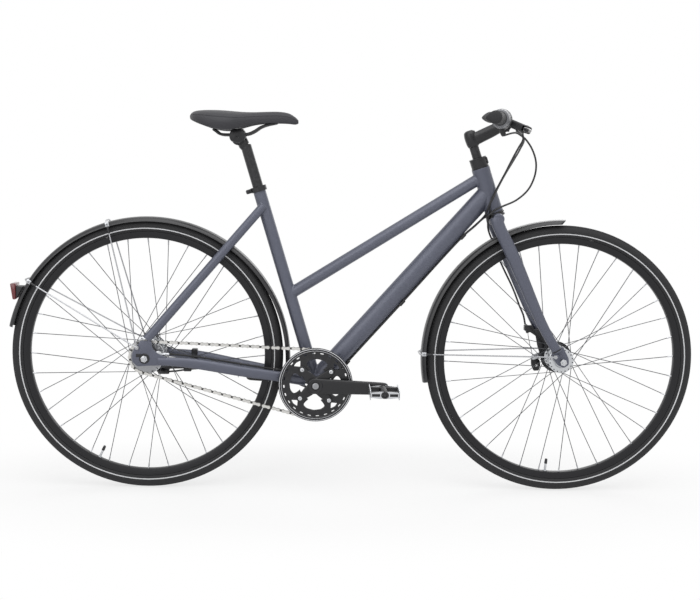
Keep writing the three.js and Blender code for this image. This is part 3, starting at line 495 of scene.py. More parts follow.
def finish(name, base, rough, metal=0.0, grain=900.0, shade=0.1, bump=0.1, depth=0.00004,
           worn=None, wear=0.3, **shader):
    """A finish made from fine grain and edge wear; shader names more sockets to set."""
    material = bpy.data.materials.new(name)
    material.use_nodes = True
    tree = material.node_tree
    tree.nodes.clear()
    add = node_maker(tree)
    place = add("ShaderNodeTexCoord").outputs["Object"]
    grains = add("ShaderNodeGroup", node_tree=grain_tree)
    tree.links.new(place, grains.inputs["Place"])
    for socket, value in (("Size", grain), ("Colour", base), ("Shade", shade),
                          ("Rough", rough), ("Rough Spread", 0.08)):
        grains.inputs[socket].default_value = value
    wears = add("ShaderNodeGroup", node_tree=wear_tree)
    tree.links.new(place, wears.inputs["Place"])
    tree.links.new(grains.outputs["Colour"], wears.inputs["Colour"])
    wears.inputs["Worn Colour"].default_value = worn or base
    wears.inputs["Amount"].default_value = wear
    relief = add(
        "ShaderNodeBump",
        {"Height": grains.outputs["Height"], "Strength": bump, "Distance": depth},
    )
    sockets = {
        "Base Color": wears.outputs["Colour"],
        "Roughness": grains.outputs["Rough"],
        "Metallic": metal,
        "Normal": relief.outputs["Normal"],
    }
    sockets.update({key.replace("_", " "): value for key, value in shader.items()})
    surface = add("ShaderNodeBsdfPrincipled", sockets)
    add("ShaderNodeOutputMaterial", {"Surface": surface.outputs[0]})
    return material


slate_paint = finish(
    "slate_paint", colour(84, 87, 101), 0.42, metal=0.3, grain=1600.0, shade=0.16,
    bump=0.06, worn=colour(112, 116, 128), wear=0.2, Coat_Weight=0.3, Coat_Roughness=0.3,
)

head_low, head_high = 398.3, 516.0
steering_axis = Vector((steering_up[0], 0, steering_up[1]))
steering_root = spot(steering_foot[0], 0, steering_foot[1])
head_tube = turned(
    "head_tube_turned",
    [(17.6, head_low), (22.4, head_low), (23.3, head_low + 1), (23.3, head_low + 8),
     (22.8, head_low + 12), (22.5, 457), (22.8, head_high - 12), (23.3, head_high - 8),
     (23.3, head_high - 1), (22.4, head_high), (17.6, head_high)],
    steering_root, steering_axis, 64,
)
dress(head_tube, slate_paint, "frame", ["head_tube"])

seat_axis = Vector((seat_up[0], 0, seat_up[1]))
seat_root = spot(seat_foot[0], 0, seat_foot[1])
seat_tube = turned(
    "seat_tube_turned",
    [(14, 12), (16, 12), (16, 519.4), (15.4, 520), (14, 520)],
    seat_root, seat_axis, 56,
)
shell = turned(
    "bottom_bracket_shell_turned",
    [(17.5, -34), (19.4, -34), (20, -33.2), (20, 33.2), (19.4, 34), (17.5, 34)],
    seat_root, leftwards, 56,
)


def solid_bar(name, start, end, radius, steps=48):
    """A solid round bar between two places, for cutting and for small rods."""
    axis = end - start
    length = axis.length * 1000
    profile = [(0, 0), (radius, 0), (radius, length), (0, length)]
    return turned(name, profile, start, axis, steps)


def head_bar(low, high, radius, name="cutter", steps=48):
    """A solid bar on the steering axis, between two heights above the axles in metres."""
    foot, top = steering_root + steering_axis * low, steering_root + steering_axis * high
    return solid_bar(name, foot, top, radius, steps)


def seat_bar(low, high, radius, name="cutter", steps=48):
    """A solid bar on the seat tube's axis, between two heights above the bottom bracket."""
    foot, top = seat_root + seat_axis * low, seat_root + seat_axis * high
    return solid_bar(name, foot, top, radius, steps)


def bracket_bar(half, radius, name="cutter", steps=48):
    """A solid bar on the bottom bracket's axis, so many millimetres to either side."""
    return solid_bar(name, at_bracket(-half), at_bracket(half), radius, steps)


cut_away(seat_tube, bracket_bar(60, 19.6))
dress(seat_tube, slate_paint, "frame", ["seat_tube"])
dress(shell, slate_paint, "frame", ["bottom_bracket_shell"])

top_tube_rear, top_tube_front = (361.2, 0, 506.1), (851, 0, 814.6)
down_tube_foot, down_tube_top = (439, 0, 291.2), (865, 0, 774)
top_tube = oval_tube(
    "top_tube_drawn", [[*top_tube_rear, 15, 15], [*top_tube_front, 15, 15]], 1, 48
)
down_tube = oval_tube(
    "down_tube_drawn", [[*down_tube_foot, 25, 21], [*down_tube_top, 25, 21]], 1, 56
)


def seat_cutter():
    """What mitres a tube to the seat tube."""
    return seat_bar(-0.06, 0.56, 15.4)


def shell_cutter():
    """What mitres a tube to the bottom bracket shell."""
    return bracket_bar(60, 19.4)


for tube in (top_tube, down_tube):
    cut_away(tube, seat_cutter())
    cut_away(tube, head_bar(0.37, 0.54, 22.2))
cut_away(down_tube, shell_cutter())
dress(top_tube, slate_paint, "frame", ["top_tube"])
dress(down_tube, slate_paint, "frame", ["down_tube"])


def weld(name, bars, body, bores=()):
    """The bead round a joint: short lengths of its tubes melted together, then smoothed."""
    bead = together(name, bars)
    finish_with(bead, "REMESH", mode="VOXEL", voxel_size=0.0016)
    finish_with(bead, "SMOOTH", factor=0.5, iterations=24)
    for bore in bores:
        cut_away(bead, bore)
    return dress(bead, slate_paint, body, (), 60)


def stub(start, end, high, wide):
    """A short length of oval tube for a weld."""
    return oval_tube("stub", [[*start, high, wide], [*end, high, wide]], 1, 40)


top_run = (Vector(top_tube_front) - Vector(top_tube_rear)).normalized()
down_run = (Vector(down_tube_top) - Vector(down_tube_foot)).normalized()
weld(
    "weld_head",
    [
        head_bar(0.403, 0.511, 22.3, "stub", 40),
        stub(Vector(top_tube_front) - top_run * 62, top_tube_front, 14.8, 14.8),
        stub(Vector(down_tube_top) - down_run * 82, down_tube_top, 24.8, 20.8),
    ],
    "frame",
    [head_bar(0.38, 0.53, 20.6)],
)
weld(
    "weld_seat",
    [
        seat_bar(0.205, 0.266, 15.8, "stub", 40),
        stub(top_tube_rear, Vector(top_tube_rear) + top_run * 52, 14.8, 14.8),
    ],
    "frame",
    [seat_bar(0.19, 0.28, 14.3)],
)

# Rear stays: aluminium, a pair of oval tubes on each side with a bridge between them and flat
# dropouts let into their ends, all welded to the seat tube and the bottom bracket shell.
chain_stay_line = [
    [34, 70, 340, 10, 6.5], [120, 64, 334, 13, 8], [240, 50, 313, 13.5, 8],
    [330, 34, 298.5, 13.5, 8], [404, 26, 286, 13.5, 9],
]
seat_stay_line = [
    [292, 14, 730, 11, 8], [250, 27, 681, 11, 8], [215, 36, 640, 11, 8],
    [110, 51, 517, 11, 8], [5, 69, 394, 11, 6.5],
]
dropout_outline = [
    (-18, 326), (4, 328), (52, 329), (54, 350), (33, 359), (20, 372), (17, 390), (-9, 392),
    (-24, 373), (-31, 357), (-31, 339),
]


def thickened(piece, x=0.0, y=0.0):
    """The filled ring in hand pulled out to a plate, so many millimetres that way."""
    bpy.ops.mesh.extrude_region_move(TRANSFORM_OT_translate={"value": (x / 1000, y / 1000, 0)})
    return close_up(piece)


def cut_plate(name, outline, low, high, round_by=2.0, holes=(), edge=0.6):
    """A flat plate standing in the bicycle's plane, its corners rounded, drilled and eased."""
    places = [spot(x, low, z) for x, z in outline]
    piece = start_ring(name, places, filled=True)
    bpy.ops.mesh.bevel(offset=round_by / 1000, segments=4, affect="VERTICES")
    bpy.ops.mesh.select_all(action="SELECT")
    thickened(piece, y=high - low)
    for x, z, radius in holes:
        cut_away(
            piece, solid_bar("cutter", spot(x, low - 5, z), spot(x, high + 5, z), radius, 24)
        )
    return soften(piece, edge) if edge else piece


def flipped(rows):
    """The same rows on the other side of the bicycle."""
    return [[row[0], -row[1], *row[2:]] for row in rows]


def thicker(rows, by):
    """The same rows with so much added to both half measures."""
    return [[*row[:3], row[3] + by, row[4] + by] for row in rows]


chain_stay_parts, seat_stay_parts = [], []
for side_name, turn, low in (("left", list, 67.7), ("right", flipped, -73.7)):
    chain_stay = oval_tube(f"chain_stay_{side_name}", turn(chain_stay_line))
    cut_away(chain_stay, shell_cutter())
    seat_stay = oval_tube(f"seat_stay_{side_name}", turn(seat_stay_line))
    cut_away(seat_stay, seat_cutter())
    dropout = cut_plate(
        f"dropout_{side_name}", dropout_outline, low, low + 6, 4, [(0, axle_high, 5.6)], 1.2
    )
    chain_stay_parts += [chain_stay, dropout]
    seat_stay_parts.append(seat_stay)
    tip = cut_plate(
        "stub",
        [(50, 332), (51, 348), (32, 356), (19, 370), (15, 388), (-7, 390), (-21, 373), (2, 360),
         (16, 346), (20, 332)],
        low + 0.4, low + 5.6, 2, (), 0,
    )
    chain_stay_end = turn([[34, 70, 340, 10, 6.5], [66, 67.6, 337.6, 11.4, 7]])
    seat_stay_end = turn([[34, 64, 428, 11, 7], [5, 69, 394, 11, 6.5]])
    weld(
        f"weld_dropout_{side_name}",
        [
            tip,
            oval_tube("stub", thicker(chain_stay_end, -0.3), 1, 32),
            oval_tube("stub", thicker(seat_stay_end, -0.3), 1, 32),
        ],
        "frame",
    )
weld(
    "weld_seat_stays",
    [
        seat_bar(0.438, 0.5, 15.8, "stub", 40),
        stub((292, 14, 730), (262, 23, 695), 10.8, 7.8),
        stub((292, -14, 730), (262, -23, 695), 10.8, 7.8),
    ],
    "frame",
    [seat_bar(0.42, 0.52, 14.3)],
)
weld(
    "weld_bottom_bracket",
    [
        bracket_bar(32.6, 19.8, "stub", 40),
        stub(down_tube_foot, Vector(down_tube_foot) + down_run * 58, 24.8, 20.8),
        seat_bar(0.012, 0.066, 15.8, "stub", 40),
        stub((404, 26, 286), (362, 30.6, 293), 13.3, 8.7),
        stub((404, -26, 286), (362, -30.6, 293), 13.3, 8.7),
    ],
    "frame",
    [bracket_bar(50, 18.4)],
)
chain_stay_parts.append(solid_bar("bridge_low", spot(372, -30, 291), spot(372, 30, 291), 5, 20))
seat_stay_parts.append(solid_bar("bridge_high", spot(233, -31, 660), spot(233, 31, 660), 6, 20))
chain_stays = together("chain_stays_drawn", chain_stay_parts)
dress(chain_stays, slate_paint, "frame", ["chain_stays"])
seat_stays = together("seat_stays_drawn", seat_stay_parts)
dress(seat_stays, slate_paint, "frame", ["seat_stays"])

# Fork: aluminium, welded in one piece: a round crown, two tapering blades that lean forward,
# flat dropouts at their tips and the steerer inside the head tube.
blade_line = [
    [881, 38, 709, 15.5, 12.5], [886.5, 41, 690, 15.5, 12.5], [928.5, 47, 605, 17, 12.5],
    [999.5, 58, 448, 13.2, 10.5], [1044, 62, 372, 12, 10],
]
fork_tip_outline = [
    (1029, 379), (1058, 386), (1074, 356), (1075, 340), (1063, 331), (1046, 338), (1032, 358),
]
fork_parts, shade_rings = [], []
for side_name, turn, low, sign in (("left", list, 50.2, 1), ("right", flipped, -57.2, -1)):
    blade = oval_tube(f"fork_blade_{side_name}", turn(blade_line))
    tip = cut_plate(
        f"fork_tip_{side_name}", fork_tip_outline, low, low + 7, 4,
        [(front_axle_x, axle_high, 5)], 1.2,
    )
    lug = solid_bar(
        f"stay_lug_{side_name}", spot(1040, sign * 56, 362), spot(1040, sign * 73.4, 362), 6.5, 24
    )
    fork_parts += [blade, tip, soften(lug, 0.8)]
    # A thin black ring round the foot of each blade: painted shade for the shadow line where the
    # dropout meets the blade.
    shade_ring_rows = turn([[1040.6, 61.7, 377.9, 12.5, 10.4], [1042.4, 61.9, 374.8, 12.5, 10.4]])
    step = oval_tube(f"fork_tip_shade_ring_{side_name}", shade_ring_rows, 1, 32)
    shade_rings.append(soften(step, 0.5))
crown = turned(
    "fork_crown",
    [(0, -44), (11, -44), (13.6, -42.5), (14.6, -40), (14.6, 40), (13.6, 42.5), (11, 44), (0, 44)],
    spot(887, 0, 707), leftwards, 48,
)
steerer = turned(
    "steerer",
    [(0, 372), (19, 372), (20, 373), (20, 388), (21, 392), (21, 398), (15, 398), (15, 530),
     (12.3, 530), (12.3, 424), (0, 424)],
    steering_root, steering_axis, 56,
)
fork_parts += [crown, steerer]
weld(
    "weld_fork_crown",
    [
        solid_bar("stub", spot(887, -42, 707), spot(887, 42, 707), 14.4, 40),
        head_bar(0.37, 0.389, 19.8, "stub", 40),
        stub((881.4, 38.3, 707), (897, 42.5, 668), 15.3, 12.3),
        stub((881.4, -38.3, 707), (897, -42.5, 668), 15.3, 12.3),
    ],
    "fork",
)
dress(together("fork_welded", fork_parts), slate_paint, "fork", ["fork"])
black_satin = finish(
    "black_satin", colour(24, 24, 27), 0.36, metal=0.3, grain=1500.0, bump=0.05,
    worn=colour(84, 85, 89), wear=0.25, Coat_Weight=0.2, Coat_Roughness=0.3,
)
# The black rings at the blades' feet are painted shade, not a separate part.
dress(together("fork_tip_collars", shade_rings), black_satin, "fork")

# Wheels: a rubber tyre with shallow tread grooves and a pale reflecting line on each flank, a
# black anodised rim with a valve, thirty-six dark steel spokes crossed three times into bright
# nipples, and a bright turned hub shell with drilled flanges.
tyre_rubber = finish(
    "tyre_rubber", colour(31, 31, 33), 0.78, grain=700.0, shade=0.2, bump=0.3, depth=0.0002,
)
stripe_pale = finish("stripe_pale", colour(205, 206, 208), 0.5, grain=2600.0, shade=0.3, bump=0.1)
rim_black = finish(
    "rim_black", colour(26, 26, 29), 0.36, metal=0.4, grain=1500.0, bump=0.05,
    worn=colour(90, 92, 96), wear=0.2,
)
spoke_steel = finish("spoke_steel", colour(74, 75, 78), 0.34, metal=0.75, grain=2000.0, bump=0.03)
hub_silver = finish(
    "hub_silver", colour(196, 198, 201), 0.26, metal=0.9, grain=1300.0, shade=0.12, bump=0.06,
)
nipple_silver = finish("nipple_silver", colour(170, 171, 174), 0.3, metal=0.9, bump=0.03)

tyre_centre_r, tyre_half = 328.5, 17.5
spokes_each_side, spoke_step = 18, 20
hole_inset = 3.4
nipple_r, valve_r = 297.5, 303


def tyre_profile():
    """The outer skin with five tread grooves, from bead to bead, then the casing's inside."""
    reach = 136
    grooves = (-36, -18, 0, 18, 36)
    rows = [(reach * (2 * i / 26 - 1), 0) for i in range(27)]
    rows = [(a, drop) for a, drop in rows if min(abs(a - g) for g in grooves) > 3.4]
    for groove in grooves:
        rows += [(groove - 2.8, 0), (groove - 1.7, 0.9), (groove + 1.7, 0.9), (groove + 2.8, 0)]
    outer = [(math.radians(a), tyre_half - drop) for a, drop in sorted(rows)]
    inner = [(math.radians(reach * (1 - 2 * i / 12)), tyre_half - 3.5) for i in range(13)]
    return [around(tyre_centre_r, 0, r, a) for a, r in outer + inner]


def stripe_profile(side):
    """A band bonded to one flank, standing a little proud of it."""
    rows = [(a, tyre_half + 0.15) for a in (100.4, 103.2, 106, 108.8)]
    rows += [(108.8, tyre_half - 0.4), (100.4, tyre_half - 0.4)]
    return [
        (tyre_centre_r + r * math.cos(math.radians(a)), side * r * math.sin(math.radians(a)))
        for a, r in rows
    ]


rim_profile = [
    (299, -7.5), (299.4, -8.6), (303, -10), (310, -11.4), (315, -12), (315.8, -11.4),
    (315.8, -10.4), (309, -10), (307, -8), (303, -6.5), (303, 6.5), (307, 8), (309, 10),
    (315.8, 10.4), (315.8, 11.4), (315, 12), (310, 11.4), (303, 10), (299.4, 8.6), (299, 7.5),
    (298.4, 4), (298.4, -4),
]


def pipes(name, lines, radius, resolution=2):
    """Round rods along lines of places, as one mesh. A row may end in its own thickness."""
    clear_hands()
    bpy.ops.curve.primitive_nurbs_path_add()
    piece = bpy.context.object
    piece.name = name
    piece.data.name = name
    piece.data.splines.clear()
    for line in lines:
        spline = piece.data.splines.new("POLY")
        spline.points.add(len(line) - 1)
        for point, row in zip(spline.points, line):
            point.co = (*row[:3], 1)
            point.radius = row[3] if len(row) > 3 else 1.0
    piece.data.dimensions = "3D"
    piece.data.bevel_depth = radius / 1000
    piece.data.bevel_resolution = resolution
    piece.data.use_fill_caps = True
    bpy.ops.object.convert(target="MESH")
    piece = bpy.context.object
    piece.name = name
    bpy.ops.object.transform_apply(location=True, rotation=True, scale=True)
    bpy.ops.object.mode_set(mode="EDIT")
    return close_up(piece)


def spoke_lines(axle_x, flange_r, flange_y, phase):
    """Eighteen spokes from the flange's holes to the rim, in two layers, with their heads."""
    out = 1 if flange_y > 0 else -1
    spokes, nipples = [], []
    for k in range(spokes_each_side):
        layer = 1.7 if k % 2 else -1.7
        rim_angle = math.radians(spoke_step * k + (0 if out > 0 else spoke_step / 2) + phase)
        hub_angle = rim_angle + math.radians(60 if k % 2 else -60)
        bent_angle = hub_angle - math.radians(0.2 if k % 2 else -0.2)
        ends = []
        for r, a, y in (
            (flange_r - hole_inset, hub_angle, flange_y - layer * out * 1.5),
            (flange_r - hole_inset, hub_angle, flange_y + layer * out * 0.9),
            (flange_r - 2.2, bent_angle, flange_y + layer * out * 1.15),
            (nipple_r, rim_angle, (2.5 + 0.6 * layer) * out),
        ):
            x, z = around(axle_x, axle_high, r, a)
            ends.append(spot(x, y, z))
        spokes.append([(*place, 1.0) for place in ends])
        stem = (ends[1] - ends[0]).normalized()
        head = ((-0.0009, 0.9), (-0.0005, 1.9), (0.0003, 1.9))
        spokes.append([(*(ends[0] + stem * d), r) for d, r in head])
        run = (ends[2] - ends[3]).normalized()
        sleeve = ((-0.002, 2.1), (0.0004, 2.1), (0.0008, 1.8), (0.012, 1.7), (0.0124, 1.2))
        nipples.append([(*(ends[3] + run * d), r) for d, r in sleeve])
    return spokes, nipples


def drilled(hub, axle_x, flange_r, flange_y, phase):
    """A spoke hole for every spoke through both flanges."""
    for y, offset in ((flange_y, 0), (-flange_y, spoke_step / 2)):
        drills = []
        for k in range(spokes_each_side):
            a = math.radians(spoke_step * k + offset + phase)
            x, z = around(axle_x, axle_high, flange_r - hole_inset, a)
            drills.append(solid_bar("drill", spot(x, y - 4, z), spot(x, y + 4, z), 1.7, 10))
        cut_away(hub, together("drills", drills))
    return hub


def valve(name, axle_x, angle, body):
    """A tube valve through the rim, with its ring nut and black cap."""
    x, z = around(axle_x, axle_high, valve_r, math.radians(angle))
    foot = spot(x, 0, z)
    inward = (at_axle(axle_x, 0) - foot).normalized()
    stem = turned(
        f"{name}_valve_stem",
        [(0, 0), (3, 0), (3, 5), (6, 5), (6, 7), (3, 7), (3, 26), (0, 26)], foot, inward, 16,
    )
    dress(stem, hub_silver, body)
    cap = turned(
        f"{name}_valve_cap",
        [(0, 24), (3.8, 24), (4, 25), (3.6, 35), (2.4, 37), (0, 37)], foot, inward, 16,
    )
    dress(cap, black_satin, body)


def wheel(name, axle_x, body, flange_r, flange_y, phase, hub_profile, valve_angle):
    """A whole wheel with its hub; phase and valve_angle are degrees round the axle."""
    centre = at_axle(axle_x, 0)
    tyre = turned(f"{name}_tyre_moulded", tyre_profile(), centre, leftwards, 144)
    dress(tyre, tyre_rubber, body, [f"{name}_tyre"])
    lines = [turned("stripe", stripe_profile(side), centre, leftwards, 144) for side in (1, -1)]
    dress(together(f"{name}_tyre_stripes", lines), stripe_pale, body)
    rim = turned(f"{name}_rim_rolled", rim_profile, centre, leftwards, 144)
    dress(rim, rim_black, body, [f"{name}_rim"], 25)
    for side_name, y in (("left", flange_y), ("right", -flange_y)):
        spokes, nipples = spoke_lines(axle_x, flange_r, y, phase)
        laced = pipes(f"{name}_spokes_{side_name}_laced", spokes, 1.0, 1)
        dress(laced, spoke_steel, body, [f"{name}_spokes_{side_name}"])
        screwed = pipes(f"{name}_nipples_{side_name}", nipples, 1.0, 1)
        dress(screwed, nipple_silver, body)
    hub = turned(f"{name}_hub_shell", hub_profile, centre, leftwards, 72)
    drilled(hub, axle_x, flange_r, flange_y, phase)
    dress(hub, hub_silver, body, [f"{name}_hub"], 30)
    valve(name, axle_x, valve_angle, body)


wheel(
    "rear", 0, "rear_wheel", 45, 29, 0,
    [(7, -42), (31, -42), (33, -40.5), (33, -31.6), (43.6, -31.2), (45, -30), (45, -27.6),
     (43.6, -27), (36, -26.4), (33.4, -23), (33, 0), (33.4, 23), (36, 26.4), (43.6, 27),
     (45, 27.6), (45, 30), (43.6, 31.2), (33, 31.6), (33, 37), (32, 38), (7, 38)],
    245,
)
wheel(
    "front", front_axle_x, "front_wheel", 32.4, 30, 1.9,
    [(6, -42), (15, -42), (16, -41), (17, -36), (19, -33.4), (30.4, -33), (32.4, -32),
     (32.4, -28.6), (31, -28), (25, -27), (22, -24), (20, 0), (22, 24), (25, 27), (31, 28),
     (32.4, 28.6), (32.4, 32), (30.4, 32.4), (6, 32.4)],
    265,
)

# Head bearings: the fork turns in bearings in the head tube's ends. What shows is the dark
# turned race and cup that are pressed on at the tube's foot.
lower_cup = turned(
    "head_bearing_cup_low",
    [(21.05, 386.6), (24.4, 386.6), (25.2, 387.6), (25.2, 391), (23.2, 391.8), (23.2, 393.6),
     (25, 394.4), (25, 397.4), (24.2, 398.2), (21.05, 398.2)],
    steering_root, steering_axis, 64,
)
dress(lower_cup, black_satin, "fork")

# Stem: forged and turned black alloy. A split collar with two bolts clamps the sliding column,
# whose elbow carries the extension and the bar clamp with its faceplate.
black_plastic = finish(
    "black_plastic", colour(24, 24, 26), 0.5, grain=1100.0, shade=0.12, bump=0.2, depth=0.00008,
    worn=colour(70, 70, 74), wear=0.25,
)
bolt_steel = finish("bolt_steel", colour(150, 151, 154), 0.3, metal=0.9, bump=0.03)


def socket_bolt(name, place, axis, radius, height, body, material=None):
    """A round-headed bolt with a hexagon socket, seated with its head's foot at place."""
    axis = Vector(axis).normalized()
    head = turned(
        name,
        [(0, -1), (radius, -1), (radius, height * 0.7), (radius * 0.8, height), (0, height)],
        place, axis, 20,
    )
    low, high = place + axis * (height - 1.4) / 1000, place + axis * (height + 1) / 1000
    cut_away(head, solid_bar("cutter", low, high, radius * 0.5, 6))
    return dress(head, material or bolt_steel, body, (), 40)


def steering_place(s, forward=0.0, left=0.0):
    """A place along the steering axis, then square off it to the front and to the left."""
    ahead = Vector((steering_up[1], 0, -steering_up[0]))
    return steering_root + steering_axis * (s / 1000) + ahead * (forward / 1000) + Vector(
        (0, left / 1000, 0)
    )


def box_between(name, low, high):
    """A block with its edges along the bicycle's, between two opposite corners in metres."""
    clear_hands()
    bpy.ops.mesh.primitive_cube_add(size=1)
    piece = bpy.context.object
    piece.name = name
    piece.data.name = name
    for vertex in piece.data.vertices:
        share = [c + 0.5 for c in vertex.co]
        vertex.co = [a + (b - a) * t for a, b, t in zip(low, high, share)]
    return piece


def leaned(piece, root, up):
    """Takes a mesh drawn upright over the origin to a tube's foot and leans it like the tube."""
    lean = Matrix.Rotation(math.atan2(up[0], up[1]), 4, "Y")
    piece.data.transform(Matrix.Translation(root) @ lean)
    return piece


collar = turned(
    "stem_collar_turned",
    [(15.3, 516.3), (22, 516.3), (22.5, 517), (22.5, 519), (21.5, 519.6), (21.5, 540),
     (22, 540.6), (22, 542.4), (21.2, 543), (12.3, 543), (12.3, 530.4), (15.3, 530.4)],
    steering_root, steering_axis, 64,
)
ear = box_between("stem_collar_ear", (0.0145, -0.0085, 0.5215), (0.0238, 0.0085, 0.5405))
soften(leaned(ear, steering_root, steering_up), 3.5, 4)
slot_cut = box_between("cutter", (0.012, -0.0008, 0.51), (0.03, 0.0008, 0.55))
cut_away(ear, leaned(slot_cut, steering_root, steering_up))
collar = together("stem_collar_forged", [collar, ear])
dress(collar, black_satin, "fork", ["stem_collar"])
for height in (526.5, 536.0):
    socket_bolt(
        f"stem_collar_bolt_{round(height)}", steering_place(height, 20.2, -8.6), (0, -1, 0),
        2.9, 2.6, "fork", black_satin,
    )

column = turned(
    "stem_column_drawn",
    [(0, 450), (11.4, 450), (12, 450.8), (12, 572), (0, 572)],
    steering_root, steering_axis, 56,
)
dress(column, black_satin, "cockpit", ["stem_column"])

bar_x, bar_z = 898, 944
bar_turned = -7.6
cockpit_turn = (
    Matrix.Translation(steering_root)
    @ Matrix.Rotation(math.radians(bar_turned), 4, steering_axis)
    @ Matrix.Translation(-steering_root)
)


def in_cockpit(piece):
    """Turns a mesh drawn straight ahead to where the bar stands, a little to the right."""
    piece.data.transform(cockpit_turn)
    return piece


elbow = turned(
    "stem_elbow",
    [(0, 572.3), (12.6, 572.3), (13.5, 573), (15, 577.6), (16, 582), (16.5, 590), (16.5, 600),
     (15.6, 607), (14, 612), (9, 615.4), (4, 616), (0, 616)],
    steering_root, steering_axis, 48,
)
arm = oval_tube(
    "stem_arm",
    [[820, 0, 904, 16.5, 14], [840, 0, 914.2, 16, 13.7], [866, 0, 927.5, 15.5, 13.5],
     [888, 0, 939, 14, 15]],
    6, 36, square=0.8,
)
bar_clamp = turned(
    "stem_bar_clamp",
    [(0, -22), (17.4, -22), (18.5, -20.8), (18.5, -17), (17.9, -16), (17.9, 16), (18.5, 17),
     (18.5, 20.8), (17.4, 22), (0, 22)],
    spot(bar_x, 0, bar_z), leftwards, 56,
)
stem_whole = together("stem_whole", [elbow, arm, bar_clamp])
finish_with(stem_whole, "REMESH", mode="VOXEL", voxel_size=0.001)
finish_with(stem_whole, "SMOOTH", factor=0.5, iterations=8)
bar_bore = solid_bar("cutter", spot(bar_x, -30, bar_z), spot(bar_x, 30, bar_z), 12.8, 48)
cut_away(stem_whole, bar_bore)
parting = box_between("cutter", spot(897.4, -26, 920), spot(898.6, 26, 968))
cut_away(stem_whole, parting)
extension = in_cockpit(stem_whole)
extension.name = "stem_extension_forged"
dress(extension, black_satin, "cockpit", ["stem_extension"], 50)
for x, z, y in ((911, 950, 15), (911, 950, -15), (907, 932, 15), (907, 932, -15)):
    out = Vector((x - bar_x, 0, z - bar_z))
    seat = spot(bar_x, y, bar_z) + out.normalized() * 0.0175
    socket_bolt(
        f"bar_clamp_bolt_{z}_{'left' if y > 0 else 'right'}",
        cockpit_turn @ seat, cockpit_turn.to_3x3() @ out, 2.7, 3, "cockpit", black_satin,
    )

# Handlebar: one black alloy tube, thick where the stem's clamp holds it in the middle, bent
# upwards on both sides and swept back.
bar_sweep = (-0.126, 0.9915, 0.03)
grip_start = (893.0, 130.0, 957.0)


def swept(distance):
    """A place on the left grip's line, so far out from its inner end."""
    return tuple(place + way * distance for place, way in zip(grip_start, bar_sweep))


bend = []
for i in range(13):
    t = i / 12
    bend.append([
        a * (1 - t) ** 3 + 3 * b * t * (1 - t) ** 2 + 3 * c * t * t * (1 - t) + d * t**3
        for a, b, c, d in zip((bar_x, 40, bar_z), (bar_x, 78, bar_z), (897, 98, 956), grip_start)
    ])
left_half = [(bar_x, 24, bar_z, 1.144), (bar_x, 30, bar_z, 1.0)] + [(*row, 1) for row in bend]
left_half += [(*swept(60), 1), (*swept(120), 1), (*swept(194.6), 1)]
bar_rows = [(x, -y, z, r) for x, y, z, r in reversed(left_half)] + left_half
bar = pipes("handlebar_bent", [[(*spot(x, y, z), r) for x, y, z, r in bar_rows]], 11.1, 7)
dress(in_cockpit(bar), black_satin, "cockpit", ["handlebar"])


# Hand controls, drawn along each grip: hinged brake levers in black brackets, ribbed rubber
# grips with a palm rest, and on the right a grey twist ring with its black housing.
def grip_axes(sign):
    """A grip's own directions: ahead and dipped like its lever, square to that, and out."""
    out = Vector((bar_sweep[0], sign * bar_sweep[1], bar_sweep[2])).normalized()
    dip = math.radians(22)
    ahead = Vector((math.cos(dip), 0, -math.sin(dip)))
    ahead = (ahead - out * ahead.dot(out)).normalized()
    return ahead, out.cross(ahead), out


def grip_place(sign, x, y, z):
    """A place ahead of a grip's line, across it, and out along it from its inner end."""
    ahead, across, out = grip_axes(sign)
    start = spot(grip_start[0], sign * grip_start[1], grip_start[2])
    return cockpit_turn @ (start + (ahead * x + across * y + out * z) / 1000)


def on_grip(piece, sign):
    """Takes a mesh drawn in a grip's own directions, in metres, to that grip."""
    ahead, across, out = grip_axes(sign)
    turn = Matrix((ahead, across, out)).transposed().to_4x4()
    start = spot(grip_start[0], sign * grip_start[1], grip_start[2])
    piece.data.transform(cockpit_turn @ Matrix.Translation(start) @ turn)
    return piece


grip_rubber = finish(
    "grip_rubber", colour(30, 30, 33), 0.72, grain=1000.0, shade=0.15, bump=0.35, depth=0.00012,
)
shifter_grey = finish(
    "shifter_grey", colour(112, 113, 117), 0.42, metal=0.15, grain=1300.0, bump=0.08,
    worn=colour(150, 150, 152), wear=0.2,
)
origin = Vector((0, 0, 0))
lever_pivot = Vector((0.06, 0, 0.014))


def from_grip_start(x, y, z):
    """A place in millimetres in a grip's own directions."""
    return Vector((x, y, z)) / 1000


def lever_blade(name, sign):
    """A cast lever: a flat blade with a rounded tip, a root boss and its pivot hole."""
    rows = [
        [61, 0, 13, 6.5, 5.5], [64, 0, 23, 6.8, 5.4], [67.8, 0, 34, 6.8, 5],
        [69.6, 0, 56, 6.6, 4.6], [70, 0, 80, 6.6, 4.6], [69, 0, 110, 6.6, 4.7],
        [69.6, 0, 132, 6.8, 5], [71, 0, 146, 6.8, 5.2], [73, 0, 153, 5.4, 4.6],
        [74.6, 0, 157, 2.6, 2.4],
    ]
    blade = oval_tube(name, rows, 4, 20, square=0.7, place_of=from_grip_start)
    boss = turned(
        "lever_root", [(3, -5.8), (8, -5.8), (8.5, -5.2), (8.5, 5.2), (8, 5.8), (3, 5.8)],
        lever_pivot, leftwards, 32,
    )
    return on_grip(together(name, [blade, boss]), sign)


